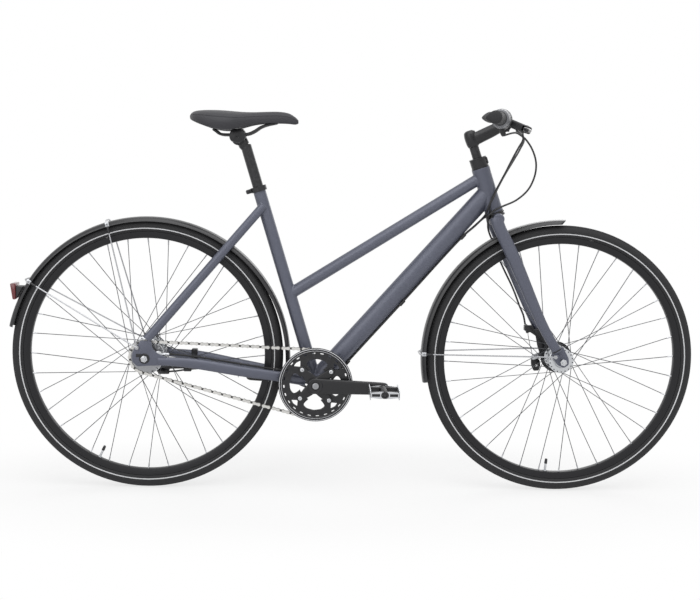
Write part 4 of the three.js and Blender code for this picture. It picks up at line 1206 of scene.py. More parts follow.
for hand, sign in (("left", 1), ("right", -1)):
    ring = turned(
        f"bracket_ring_{hand}",
        [(11.7, 0.4), (16.2, 0.4), (17, 1.2), (17, 28.8), (16.2, 29.6), (11.7, 29.6)],
        origin, (0, 0, 1), 48,
    )
    arm_block = box_between("bracket_arm", (0.012, -0.009, 0.0025), (0.072, 0.009, 0.026))
    soften(arm_block, 4, 4)
    cut_away(arm_block, box_between("cutter", (0.05, -0.0063, 0.0055), (0.082, 0.0063, 0.03)))
    adjuster_foot = Vector((53, sign * 6.5, 8)) / 1000
    adjuster_end = Vector((52, sign * 12, -16)) / 1000
    barrel = turned(
        f"bracket_barrel_{hand}",
        [(0, 0), (5, 0), (5, 9.6), (4.4, 10), (4.4, 10.6), (5, 11), (5, 18), (4.2, 18.6),
         (3.7, 19), (3.7, 23.4), (3.2, 24.4), (0, 24.4)],
        adjuster_foot, adjuster_end - adjuster_foot, 24,
    )
    pin = turned(
        f"bracket_pin_{hand}",
        [(0, -9.6), (3.4, -9.6), (3.6, -9.2), (3.6, -8.6), (2.4, -8.6), (2.4, 8.6), (3.6, 8.6),
         (3.6, 9.2), (3.4, 9.6), (0, 9.6)],
        lever_pivot, leftwards, 24,
    )
    bracket = on_grip(together(f"lever_bracket_{hand}_cast", [ring, arm_block, barrel]), sign)
    dress(bracket, black_satin, "cockpit", [f"lever_bracket_{hand}"])
    dress(on_grip(pin, sign), black_satin, "cockpit")
    blade = lever_blade(f"brake_lever_{hand}_cast", sign)
    dress(blade, black_satin, f"lever_{hand}", [f"brake_lever_{hand}"], 40)

    inner = 67 if hand == "left" else 100
    palm_turn = Matrix.Rotation(math.radians(26.2) * -sign, 3, "Z")
    rings = []
    grip_rows = [
        # distance out, radius, how far the palm rest stands back, and how flat it is there
        (inner, 14.5, 0, 0), (inner + 0.8, 16.6, 0, 0), (inner + 4, 17, 0, 0),
        (inner + 7, 16.2, 0, 0), (inner + 14, 15, 1.2, 0.75), (inner + 30, 14.6, 3.6, 0.6),
        (145, 14.6, 6.6, 0.5), (162, 14.8, 8.4, 0.45), (180, 15.2, 9, 0.45),
        (190, 15.4, 8.2, 0.5), (195, 14.6, 6.5, 0.6), (197.6, 12.2, 4.4, 0.7),
        (199, 7.6, 2.2, 0.8),
    ]
    for z, r, stand, thin in eased(grip_rows, 4):
        ring_places = []
        for j in range(40):
            a = 2 * math.pi * j / 40
            back = max(0.0, -math.cos(a)) ** 3
            x = r * math.cos(a) - stand * back
            y = r * math.sin(a) * (1 - (1 - thin if thin else 0) * 0.4 * back)
            ring_places.append(palm_turn @ Vector((x, y, z)) / 1000)
        rings.append(ring_places)
    grip = on_grip(drawn_out(f"grip_{hand}_moulded", rings), sign)
    bore_start, bore_end = grip_place(sign, 0, 0, inner - 5), grip_place(sign, 0, 0, 195.4)
    cut_away(grip, solid_bar("cutter", bore_start, bore_end, 11.15, 32))
    dress(grip, grip_rubber, "cockpit", [f"grip_{hand}"], 40)

twist_ring = turned(
    "twist_ring_moulded",
    [(11.7, 60.4), (22, 60.4), (23, 61.4), (23.5, 66), (22.9, 73), (22.1, 73.4), (22.1, 75),
     (22.5, 75.4), (21.5, 90), (21, 95.6), (19.6, 98), (17.6, 99.4), (11.7, 99.4)],
    origin, (0, 0, 1), 72,
)
dress(on_grip(twist_ring, -1), shifter_grey, "shifter", ["twist_shifter"])
housing = turned(
    "shifter_housing_moulded",
    [(11.7, 30.2), (20, 30.2), (21.2, 31), (23.4, 34.6), (24, 37), (24, 58.6), (23, 60),
     (11.7, 60)],
    origin, (0, 0, 1), 64,
)
outlet_start, outlet_end = Vector((0.0, -0.014, 0.044)), Vector((0.022, -0.036, 0.041))
outlet = turned(
    "shifter_outlet",
    [(0, 0), (6.6, 0), (6.6, 22), (6, 26), (4.8, 28.4), (3.2, 29.4), (0, 29.4)],
    outlet_start, outlet_end - outlet_start, 24,
)
housing = on_grip(together("shifter_housing_whole", [housing, outlet]), -1)
dress(housing, black_plastic, "cockpit", ["shifter_housing"])

# Saddle: a foam pad under a synthetic leather cover, with a narrow nose and a seam round its
# edge, on a moulded base. Steel rails bend from the nose to the rear of the base.
cover_black = finish(
    "cover_black", colour(40, 40, 45), 0.6, grain=520.0, shade=0.16, bump=0.3, depth=0.00025,
    Sheen_Weight=0.08,
)
saddle_rows = [
    # x, half width, top, lower edge
    [107, 14, 955, 948], [111, 34, 960, 943], [120, 53, 965, 938], [137, 68, 967.5, 931],
    [162, 76, 968.5, 923], [190, 77, 968, 918.5], [214, 69, 966.5, 919.5], [240, 49, 965, 926],
    [268, 32, 965, 933], [300, 23, 966.5, 937], [330, 19.5, 967, 938], [354, 17, 963.5, 937.5],
    [370, 13, 954.5, 936], [376.5, 8, 948.5, 937.8], [378.5, 5, 946, 939],
]


def saddle_ring(x, half, top, edge):
    """One ring of the pad: crowned top, drawn-in sides, raised underside."""
    deep = top - edge
    under = edge + min(8, deep * 0.35)
    across = [
        (0, top), (0.18, top - deep * 0.005), (0.35, top - deep * 0.03),
        (0.52, top - deep * 0.075), (0.68, top - deep * 0.14), (0.81, top - deep * 0.235),
        (0.91, top - deep * 0.36), (0.975, top - deep * 0.5), (1, top - deep * 0.64),
        (0.992, top - deep * 0.8), (0.965, edge + 0.8), (0.92, edge), (0.84, edge + 1),
        (0.7, under), (0.4, under), (0, under),
    ]
    right = [(x, -u * half, z) for u, z in across]
    left = [(x, u * half, z) for u, z in reversed(across[1:-1])]
    return [spot(*place) for place in right + left]


pad_rings = [saddle_ring(*row) for row in eased(saddle_rows, 4)]
cover = drawn_out("saddle_cover_sewn", pad_rings)
dress(cover, cover_black, "saddle", ["saddle_cover"], 60)
seam_line = [tuple(ring[6]) for ring in pad_rings[4:-3]]
seam_line += [tuple(ring[-6]) for ring in reversed(pad_rings[4:-3])]
dress(pipes("saddle_seam_welt", [seam_line], 0.9, 2), cover_black, "saddle")

rail_half = [
    [166, 31, 921], [173, 29, 916], [187, 23, 908], [222, 23, 908], [251, 23, 909.5],
    [269, 21, 917], [284, 17, 927], [301, 12, 933.5], [322, 6, 938],
]
rail_rows = eased(rail_half + [[x, -y, z] for x, y, z in reversed(rail_half)], 5)
rails = pipes("saddle_rails_bent", [[tuple(spot(*row)) for row in rail_rows]], 3.5, 4)
dress(rails, black_satin, "saddle", ["saddle_rails"])

base_rings = []
for x, half, top, edge in eased(saddle_rows[1:-1], 3):
    ceiling = edge + min(8, (top - edge) * 0.35) - 0.3
    wide = half * 0.66
    base_rings.append([
        spot(x, y, z) for y, z in (
            (0, ceiling), (-wide, ceiling), (-wide * 0.99, ceiling - 2.6),
            (-wide * 0.96, ceiling - 4), (-wide * 0.5, ceiling - 4.3), (0, ceiling - 4.4),
            (wide * 0.5, ceiling - 4.3), (wide * 0.96, ceiling - 4), (wide * 0.99, ceiling - 2.6),
            (wide, ceiling))
    ])
base = drawn_out("saddle_base_moulded", base_rings)
dress(base, black_plastic, "saddle", ["saddle_base"])

# Seatpost: a black alloy tube with a forged head. Two cheeks and a bolted bridge hold the
# rails on its cradle, and a collar with one bolt clamps it in the seat tube.
post = turned(
    "seatpost_tube", [(0, 290), (13, 290), (13.6, 290.6), (13.6, 628), (0, 628)],
    seat_root, seat_axis, 48,
)
neck_start = seat_root + seat_axis * 0.634
neck_x, neck_z = (neck_start.x - rear_axle_x) * 1000, neck_start.z * 1000
neck = oval_tube(
    "seatpost_neck",
    [[neck_x, 0, neck_z, 13.6, 13.6], [243, 0, 881, 13.7, 13.7], [238, 0, 891, 14, 14],
     [229, 0, 897, 11, 14]],
    6, 36,
)
cradle = turned(
    "seatpost_cradle",
    [(0, -17.5), (14.2, -17.5), (15, -16.7), (15, 16.7), (14.2, 17.5), (0, 17.5)],
    spot(227, 0, 897), leftwards, 48,
)
seatpost = together("seatpost_forged", [post, neck, cradle])
dress(seatpost, black_satin, "seatpost", ["seatpost"])

cheek_outline = [
    (213, 889), (237, 887), (246, 896), (247, 910), (241, 922), (213, 922), (207, 912), (206, 898),
]
clamp_parts = [
    cut_plate("rail_cheek_left", cheek_outline, 17.9, 28.5, 5.5, (), 2.6),
    cut_plate("rail_cheek_right", cheek_outline, -28.5, -17.9, 5.5, (), 2.6),
]
bridge_block = box_between("rail_bridge", spot(212, -24, 914), spot(242, 24, 922))
clamp_parts.append(soften(bridge_block, 3, 3))
rail_clamp = together("saddle_clamp_forged", clamp_parts)
dress(rail_clamp, black_satin, "saddle", ["saddle_clamp"])
for side_name, sign in (("left", 1), ("right", -1)):
    socket_bolt(
        f"rail_clamp_bolt_{side_name}", spot(227, sign * 28.5, 899), (0, sign, 0), 5.4, 3,
        "saddle", black_satin,
    )

seat_collar = turned(
    "seat_collar_ring",
    [(16.3, 508), (19.6, 508), (20.5, 509), (20.5, 520), (19.6, 521), (16.3, 521)],
    seat_root, seat_axis, 56,
)
seat_ear = box_between("seat_collar_ear", (-0.033, -0.007, 0.509), (-0.017, 0.007, 0.520))
soften(leaned(seat_ear, seat_root, seat_up), 3, 4)
seat_slot = box_between("cutter", (-0.04, -0.0007, 0.5), (-0.019, 0.0007, 0.53))
cut_away(seat_ear, leaned(seat_slot, seat_root, seat_up))
seat_collar = together("seat_collar_forged", [seat_collar, seat_ear])
dress(seat_collar, black_satin, "frame", ["seat_collar"])
collar_bolt = seat_root + seat_axis * 0.5145 - Vector((seat_up[1], 0, -seat_up[0])) * 0.0275
socket_bolt(
    "seat_collar_bolt", collar_bolt + Vector((0, -0.007, 0)), (0, -1, 0), 3.6, 3.2, "frame",
    black_satin,
)

# Hub brakes: pressed black housings on the left of each hub, each with an arm that a clip
# holds to the fork or the stay, a barrel stop for its cable, and a bright cam lever. The
# front one also has a black clamp on its cam.
front_drum = turned(
    "front_brake_drum",
    [(6, 33.5), (39.4, 33.5), (40.4, 34.4), (40.4, 37.4), (39.6, 39.4), (37.6, 43.6), (36, 45),
     (28, 45.6), (20, 46.5), (6, 46.5)],
    at_axle(front_axle_x, 0), leftwards, 64,
)
front_arm = cut_plate(
    "front_brake_arm",
    [(1046, 378), (1041, 350), (1019, 350), (1011, 374), (1006, 399), (991, 409), (977, 414),
     (977, 427), (997, 427), (1001, 417), (1016, 415)],
    41, 46, 2.5, (), 1,
)
front_clip = soften(box_between("front_brake_clip", spot(997, 43, 406), spot(1041, 73, 418)), 3, 4)
cut_away(front_clip, oval_tube("cutter", thicker(blade_line, 0.4), 3, 28))
front_block = box_between("front_brake_block", spot(976, 42, 412), spot(997, 60, 426))
soften(front_block, 2.5, 4)
front_barrel = turned(
    "front_brake_barrel",
    [(0, 0), (4.4, 0), (5, 0.6), (5, 7), (4.3, 7.6), (4.3, 8.6), (5, 9.2), (5, 22.4), (0, 22.4)],
    spot(980, 55, 427), spot(988, 55, 406) - spot(980, 55, 427), 24,
)
front_brake = together(
    "front_brake_built", [front_drum, front_arm, front_clip, front_block, front_barrel]
)
dress(front_brake, black_satin, "fork", ["front_brake"])
front_cam = cut_plate(
    "front_brake_cam_stamped",
    [(1035, 345), (1037, 353), (1029, 359), (1003, 349), (997, 344), (998, 337), (1005, 335)],
    47.4, 49.8, 2.5, [(1003.4, 341, 1.8)], 0.5,
)
dress(front_cam, nipple_silver, "front_cam", ["front_brake_cam"])
anchor = turned(
    "front_cam_anchor",
    [(0, 45.4), (5, 45.4), (5.4, 45.8), (5.4, 47.1), (2.4, 47.1), (2.4, 50.1), (6, 50.1),
     (6.4, 50.6), (6.4, 53), (5.6, 53.8), (0, 53.8)],
    spot(1003.4, 0, 341), leftwards, 24,
)
dress(anchor, hub_silver, "front_cam")
wire_run = (
    (987.4, 55, 407.6), (988.6, 54.6, 398), (994, 53, 372), (1000.4, 51.6, 350), (1003, 51.6, 341),
)
wire_end = pipes("front_cam_wire", [[tuple(spot(*place)) for place in wire_run]], 0.9, 2)
dress(wire_end, bolt_steel, None)
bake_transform(wire_end)
claw = cut_plate(
    "front_cam_claw",
    [(998, 342), (999, 320), (1006, 304), (1020, 305), (1024, 318), (1022, 332), (1011, 344)],
    54, 60, 3, [(1013, 318, 3)], 1.4,
)
dress(claw, black_satin, "front_cam")
clip_nut = turned(
    "front_brake_clip_nut",
    [(0, 46), (7, 46), (7.4, 46.4), (7.4, 47.4), (5, 47.6), (5, 50.4), (4.2, 51), (0, 51)],
    spot(1030, 0, 360), leftwards, 24,
)
dress(clip_nut, hub_silver, "fork")

rear_drum = turned(
    "rear_brake_drum",
    [(6, 39), (44, 39), (45, 40), (45, 45), (44, 48), (42, 56), (40.4, 58), (30, 58.6),
     (20, 60), (6, 60)],
    at_axle(0, 0), leftwards, 64,
)
rear_arm = cut_plate(
    "rear_brake_arm",
    [(-36, 297), (16, 297), (16, 284), (46, 284), (46, 298), (112, 300), (112, 312),
     (44, 314), (24, 344), (0, 362), (-22, 346), (-38, 310)],
    58.3, 63, 3.5, [(0, axle_high, 6)], 0.9,
)
rear_clip = soften(box_between("rear_brake_clip", spot(104, 54.2, 299), spot(120, 76, 352)), 3, 4)
cut_away(rear_clip, oval_tube("cutter", thicker(chain_stay_line, 0.3), 3, 24))
rear_barrel = turned(
    "rear_brake_barrel",
    [(0, -2), (3.6, -2), (4.5, 0), (4.5, 5), (3.9, 5.6), (3.9, 6.6), (4.5, 7.2), (4.5, 26),
     (0, 26)],
    spot(40, 55.5, 291), spot(14, 55.5, 295) - spot(40, 55.5, 291), 24,
)
rear_brake = together("rear_brake_built", [rear_drum, rear_arm, rear_clip, rear_barrel])
dress(rear_brake, black_satin, "frame", ["rear_brake"])
rear_nut = turned(
    "rear_brake_arm_nut", [(0, 63), (7, 63), (7.6, 63.5), (7.6, 66), (7, 66.6), (0, 66.6)],
    spot(112, 0, 306), leftwards, 6,
)
dress(rear_nut, hub_silver, "frame")
rear_cam = cut_plate(
    "rear_brake_cam_stamped",
    [(-29, 321), (-22, 325), (-15, 321), (-8, 291), (-14, 285), (-21, 288)], 63.5, 66.8, 2.5,
    [(-21.5, 318, 2.2)], 0.4,
)
dress(rear_cam, nipple_silver, "rear_cam", ["rear_brake_cam"])

# Axles: steel rods with a round locknut inside each dropout and a hexagon nut outside it. The
# rear one has a thin black washer under each nut and a small black block beside it, painted shade
# for the dark recess round the nut and the slot next to it.
def axle(name, x, body, half, inner, radius, nut_in):
    """An axle with its nuts: half its length, then where each locknut and nut is seated."""
    profile = [(0, -half), (radius - 0.6, -half), (radius, -half + 0.8)]
    profile += [(radius, half - 0.8), (radius - 0.6, half), (0, half)]
    parts = [turned(f"{name}_rod", profile, at_axle(x, 0), leftwards, 24)]
    for sign in (1, -1):
        locknut = turned(
            f"{name}_locknut", [(radius, 0), (8.4, 0), (9, 0.6), (9, 2.4), (8.4, 3), (radius, 3)],
            at_axle(x, sign * inner), (0, -sign, 0), 24,
        )
        nut_foot = at_axle(x, sign * nut_in)
        nut = solid_bar(f"{name}_nut", nut_foot, nut_foot + Vector((0, sign * 0.0075, 0)), 9, 6)
        soften(nut, 0.7)
        parts += [locknut, nut]
    return dress(together(f"{name}_whole", parts), hub_silver, body, [name], 30)


axle("rear_axle", 0, "frame", 88.5, 67.4, 5, 74)
axle("front_axle", front_axle_x, "fork", 72, 49.9, 4.5, 57.6)
for side_name, sign in (("left", 1), ("right", -1)):
    # The black washer and the black block beside it are painted shade for the recess round the nut
    # and the slot.
    recess_shade = turned(
        f"rear_axle_recess_shade_{side_name}",
        [(5.2, 73.8), (12.6, 73.8), (13.2, 74.3), (12.6, 74.9), (5.2, 74.9)],
        at_axle(0, 0), (0, sign, 0), 32,
    )
    slot_shade = box_between("slot_shade", spot(-21, sign * 74 - 0.6, 350), spot(-8, sign * 74 + 0.8, 358))
    nut_shade = together(f"rear_axle_nut_shade_{side_name}", [recess_shade, soften(slot_shade, 1.5, 3)])
    dress(nut_shade, black_satin, "frame")

# Bottom bracket, cranks and chainring: forged black cranks on a square axle; a four-armed
# spider carries the toothed ring and a pressed black guard disc with two bright edge lines.
ring_teeth, ring_r = 44, 89.02
cog_teeth, cog_r = 20, 40.59


def toothed(name, centre_x, centre_z, teeth, pitch_r, low, high, bore):
    """A flat ring with a tooth for each link of the chain."""
    outline = []
    for k in range(teeth):
        for share, out in ((-0.5, -3.9), (-0.3, -3.2), (-0.13, 2.9), (0.13, 2.9), (0.3, -3.2)):
            a = 2 * math.pi * (k + share) / teeth
            outline.append(around(centre_x, centre_z, pitch_r + out, a))
    piece = start_ring(name, [spot(x, low, z) for x, z in outline], filled=True)
    thickened(piece, y=high - low)
    drill_start, drill_end = spot(centre_x, low - 4, centre_z), spot(centre_x, high + 4, centre_z)
    return cut_away(piece, solid_bar("cutter", drill_start, drill_end, bore, 64))


sprocket = toothed(
    "sprocket_toothed", 0, axle_high, cog_teeth, cog_r, -50.2, -47.8, 17
)
sprocket_core = turned(
    "sprocket_core",
    [(7, -56), (16.4, -56), (17, -55.4), (19, -51), (19, -47), (17, -43.6), (16.4, -43), (7, -43)],
    at_axle(0, 0), leftwards, 40,
)
sprocket_whole = together("sprocket_whole", [sprocket, sprocket_core])
dress(sprocket_whole, bolt_steel, "sprocket", ["sprocket"], 30)


def window(outline, low, high, round_by):
    """A cutter with rounded corners, its outline given as radius and angle round the axle."""
    places = [around(bracket_x, bracket_z, r, math.radians(a)) for r, a in outline]
    return cut_plate("cutter", places, low, high, round_by, (), 0)


chainring = toothed(
    "chainring_toothed", bracket_x, bracket_z, ring_teeth, ring_r, -50.1, -47.9, 42
)
guard_disc = turned(
    "chainring_guard",
    [(42, -57), (42.4, -57.4), (83, -57.4), (84, -58), (90, -58), (91, -57.6), (94, -57.2),
     (94.5, -56.6), (94.5, -55.6), (94, -55), (42.4, -55), (42, -55.4)],
    at_bracket(0), leftwards, 128,
)
ring_cut, guard_cut = (-53, -45), (-60, -53.5)
for k in range(4):
    a = 90 * k - 3.5
    arm_angle = a + 45
    room = [
        (38, a - 20), (38, a + 20), (52, a + 27), (61, a + 27), (65.5, a + 16), (66.5, a),
        (65.5, a - 16), (61, a - 27), (52, a - 27),
    ]
    triangle = [(60, arm_angle), (73, arm_angle - 9), (75, arm_angle), (73, arm_angle + 9)]
    openings = [(room, 4), (triangle, 1.6)]
    for turn_by in (-37.5, -22.5, -7.5, 7.5, 22.5, 37.5):
        middle = a + turn_by + 45
        slit = [(79, middle - 3), (79, middle + 3), (82.4, middle + 3.2), (82.4, middle - 3.2)]
        openings.append((slit, 0.9))
    for opening, round_by in openings:
        cut_away(chainring, window(opening, *ring_cut, round_by))
        cut_away(guard_disc, window(opening, *guard_cut, round_by))
ring_whole = together("chainring_whole", [chainring, guard_disc])
dress(ring_whole, black_satin, "crankset", ["chainring"], 30)
edge_lines = [
    turned(
        "edge_line", [(r, -57.2), (r + 0.2, low), (r + wide - 0.2, low), (r + wide, -57.2)],
        at_bracket(0), leftwards, 128,
    )
    for r, wide, low in ((86.4, 1, -58.3), (91.2, 1.5, -58.1))
]
edge_bright = finish("edge_bright", colour(226, 227, 231), 0.3, metal=0.25, bump=0.02)
edge_whole = together("chainring_edge_lines", edge_lines)
dress(edge_whole, edge_bright, "crankset", (), 30)
bolt_circle_r = 52
arm_angles = [math.radians(90 * k + 41.5) for k in range(4)]
bolt_places = [around(bracket_x, bracket_z, bolt_circle_r, a) for a in arm_angles]
spacers = [
    solid_bar("spacer", spot(x, -55.2, z), spot(x, -50, z), 5.4, 20) for x, z in bolt_places
]
dress(together("chainring_spacers", spacers), black_satin, "crankset")

crank_turn = math.radians(1)
crank_long = 170


def crank_place(sign, reach, y, rise=0.0):
    """A place along a crank: reach from the bottom bracket, y to the side, rise square to it."""
    way = 1 if sign < 0 else -1
    x = way * reach * math.cos(crank_turn) + rise * math.sin(crank_turn)
    z = -way * reach * math.sin(crank_turn) + rise * math.cos(crank_turn)
    return spot(bracket_x + x, sign * y, bracket_z + z)


def in_millimetres(place):
    """A place given back forward of the rear axle, left of the middle and up."""
    return [(place.x - rear_axle_x) * 1000, place.y * 1000, place.z * 1000]


def crank(name, sign):
    """A crank with its boss and pedal axle, and on the right the spider's four arms."""
    rows = []
    for reach, y, high, wide in (
        (-19.4, 67.4, 8, 3.6), (-17, 67.3, 13, 5.2), (-8, 67.2, 18.2, 6.2), (10, 67.4, 18.4, 6.4),
        (40, 68.8, 17.6, 6.4), (85, 71, 16.5, 6.2), (130, 74, 15.4, 6.2), (162, 76.4, 14.7, 6.2),
        (176, 77, 13.4, 6), (182, 77, 9.4, 5), (184.4, 77, 4, 2.6),
    ):
        rows.append([*in_millimetres(crank_place(sign, reach, y, -1.4)), high + 1.3, wide])
    arm = oval_tube(f"{name}_arm", rows, 5, 36, square=0.55)
    boss = turned(
        f"{name}_boss",
        [(0, 58.4), (15, 58.4), (16, 59.4), (18, 66), (18, 74.6), (16.8, 76), (11, 76),
         (10.4, 75), (0, 75)],
        at_bracket(0), (0, sign, 0), 48,
    )
    foot = crank_place(sign, crank_long, 0)
    axle_rod = turned(
        f"{name}_pedal_axle",
        [(0, 80), (7.4, 80), (7.4, 86), (4.8, 86.6), (4.8, 171), (0, 171)], foot, (0, sign, 0), 24,
    )
    parts = [arm, boss, axle_rod]
    if sign < 0:
        for a in arm_angles:
            spider = []
            for reach, high, wide, y in (
                (0, 16, 3.2, 61.6), (26, 13, 3, 61), (44, 9.6, 2.6, 60.4), (54, 8.6, 2.4, 60),
                (59, 6.4, 2.0, 60), (61, 2.6, 1.2, 60),
            ):
                x, z = around(bracket_x, bracket_z, reach, a)
                spider.append([x, -y, z, high, wide])
            parts.append(oval_tube("spider_arm", spider, 4, 24, square=0.6))
    whole = together(f"{name}_forged", parts)
    return dress(whole, black_satin, "crankset", [name], 40)


crank("crank_right", -1)
crank("crank_left", 1)
socket_bolt("crank_bolt_right", at_bracket(-75.4), (0, -1, 0), 8, 2.4, "crankset")
socket_bolt("crank_bolt_left", at_bracket(75.4), leftwards, 8, 2.4, "crankset")
for number, (x, z) in enumerate(bolt_places, 1):
    socket_bolt(
        f"chainring_bolt_{number}", spot(x, -62, z), (0, -1, 0), 5, 2, "crankset", hub_silver,
    )


# Pedals: a bright pressed cage with toothed edges, and black moulded ribs in it, round a black
# barrel that turns on the axle.
def pedal(name, sign, body):
    """A pedal at the end of its crank; the cage is the same on both faces."""
    cx, _, cz = in_millimetres(crank_place(sign, crank_long, 0))
    barrel = turned(
        f"{name}_barrel",
        [(5.5, 87.5), (8.4, 87.5), (9, 88.2), (9, 172), (8.2, 173.4), (5.5, 173.4)],
        spot(cx, 0, cz), (0, sign, 0), 36,
    )
    cage_parts, ribs = [], []
    for front in (1, -1):
        outline = [(87, 9)]
        for k in range(7):
            y = 88 + 12 * k
            outline += [(y, 10.2), (y + 3, 13), (y + 7, 13), (y + 9, 10.2)]
        outline.append((173, 9))
        lower = [(y, -z) for y, z in reversed(outline)]
        places = [spot(cx + front * 34.3, sign * y, cz + z) for y, z in outline + lower]
        plate = start_ring(f"{name}_cage", places, filled=True)
        thickened(plate, x=front * 2.2)
        cage_parts.append(soften(plate, 0.4, 1))
        for y0, y1 in ((92, 110), (113, 128), (132, 147), (150, 168)):
            low = spot(cx + front * 32 - 3, sign * y0, cz - 5.5)
            high = spot(cx + front * 38 + 3, sign * y1, cz + 5.5)
            cut_away(plate, box_between("cutter", low, high))
    for y0, y1 in ((87, 90), (170, 173)):
        ends = [
            (cx - 36, cz - 6), (cx - 12, cz - 8.8), (cx + 12, cz - 8.8), (cx + 36, cz - 6),
            (cx + 36, cz + 6), (cx + 12, cz + 8.8), (cx - 12, cz + 8.8), (cx - 36, cz + 6),
        ]
        low, high = sorted((sign * y0, sign * y1))
        end_plate = cut_plate(f"{name}_end", ends, low, high, 2, [(cx, cz, 9.6)], 0.5)
        for x0, x1 in ((-32, -12), (12, 32)):
            opening = box_between(
                "cutter", spot(cx + x0, low - 4, cz - 3.4), spot(cx + x1, high + 4, cz + 3.4)
            )
            cut_away(end_plate, opening)
        cage_parts.append(end_plate)
    for y0, y1 in ((91, 105), (155, 169)):
        low, high = sorted((sign * y0, sign * y1))
        rib = box_between("rib", spot(cx - 34.2, low, cz - 6.5), spot(cx + 34.2, high, cz + 6.5))
        cut_away(rib, solid_bar("cutter", spot(cx, low - 5, cz), spot(cx, high + 5, cz), 9.3, 32))
        ribs.append(soften(rib, 1.2))
    dress(together(f"{name}_core_moulded", ribs), black_plastic, body)
    cage = together(f"{name}_cage_pressed", cage_parts)
    dress(cage, hub_silver, body, [name], 35)
    dress(barrel, black_plastic, body)


pedal("pedal_right", -1, "pedal_right")
pedal("pedal_left", 1, "pedal_left")

# Chain: steel, half-inch pitch. Narrow links on rollers, darkened as painted shade for the gaps
# between the plates, and wide bright links on pins take turns.
pin_pitch, chain_line = 12.7, -49
chain_steel = finish(
    "chain_steel", colour(206, 205, 202), 0.34, metal=0.8, grain=1400.0, shade=0.25, bump=0.1,
)


def on_teeth(x, z, radius, teeth, start, end):
    """The pins that lie in a wheel's teeth between two angles, one to each tooth."""
    step = 2 * math.pi / teeth
    count = int((end - start) / step)
    spare = (end - start - count * step) / 2
    return [Vector(around(x, z, radius, start + spare + i * step)) for i in range(count + 1)]


def between(first, last):
    """The pins on a straight run, evenly placed and without its two ends."""
    steps = round((last - first).length / pin_pitch)
    return [first.lerp(last, i / steps) for i in range(1, steps)]


def chain_pins():
    """The pins' places round the whole loop."""
    to_cog = math.atan2(axle_high - bracket_z, -bracket_x)
    wrap = math.acos((ring_r - cog_r) / math.hypot(bracket_x, axle_high - bracket_z))
    ring = on_teeth(
        bracket_x, bracket_z, ring_r, ring_teeth, to_cog + wrap, to_cog + 2 * math.pi - wrap
    )
    cog = on_teeth(0, axle_high, cog_r, cog_teeth, to_cog - wrap, to_cog + wrap)
    return ring + between(ring[-1], cog[0]) + cog + between(cog[-1], ring[0])


def link_plate(low, high, half_high):
    """A link's side plate, waisted between its two round ends."""
    outline = []
    for x, angles in ((6.35, range(-80, 81, 40)), (-6.35, range(100, 261, 40))):
        for a in angles:
            outline.append(around(x, 0, half_high, math.radians(a)))
        outline.append((0, half_high * (0.6 if x > 0 else -0.6)))
    places = [Vector((x, low, z)) / 1000 for x, z in outline]
    plate = start_ring("link_plate", places, filled=True)
    return thickened(plate, y=high - low)


def chain_link(name, inside, half_high, pin, pin_r, pin_half, steps):
    """Two plates a millimetre thick with a roller or a pin through each end."""
    parts = [
        link_plate(-inside - 1, -inside, half_high), link_plate(inside, inside + 1, half_high),
    ]
    profile = [(0, -pin_half), (pin_r, -pin_half), (pin_r, pin_half), (0, pin_half)]
    for x in (0.00635, -0.00635):
        parts.append(turned(pin, profile, Vector((x, 0, 0)), leftwards, steps))
    return together(name, parts)


narrow_link = chain_link("narrow_link", 1.9, 3.7, "roller", 3.9, 1.9, 8)
wide_link = chain_link("wide_link", 3.0, 4.3, "pin", 1.8, 4.5, 6)
pins = chain_pins()
links = []
for i, here in enumerate(pins):
    there = pins[(i + 1) % len(pins)]
    shape = (narrow_link, wide_link)[i % 2]
    link = shape.copy()
    link.data = shape.data.copy()
    bpy.context.scene.collection.objects.link(link)
    middle = (here + there) / 2
    lean = math.atan2(there.y - here.y, there.x - here.x)
    link.data.transform(
        Matrix.Translation(spot(middle.x, chain_line, middle.y))
        @ Matrix.Rotation(-lean, 4, "Y")
    )
    links.append(link)
for shape in (narrow_link, wide_link):
    bpy.data.objects.remove(shape)
# The narrow links' dark colour is painted shade for the shaded gaps along the chain.
chain_painted_shade = finish(
    "chain_painted_shade", colour(74, 73, 71), 0.45, metal=0.7, grain=1400.0, shade=0.25, bump=0.1,
)
outer_links = together("chain_outer_links", links[1::2])
dress(outer_links, chain_steel, "frame", ["chain"], 30)
inner_links = together("chain_inner_links", links[0::2])
dress(inner_links, chain_painted_shade, "frame", ["chain"], 30)

# Mudguards: black moulded channels over both tyres, on bright wire stays that black sleeves
# and bolted clips hold at the guard. Bolts fix them to the stays' bridges and the fork's crown.
guard_black = finish(
    "guard_black", colour(27, 27, 30), 0.34, grain=1000.0, shade=0.1, bump=0.05,
    worn=colour(70, 70, 74), wear=0.2, Coat_Weight=0.15, Coat_Roughness=0.25,
)
rear_arch, front_arch = (2, 337, 361.6), (front_axle_x, 347, 358.5)


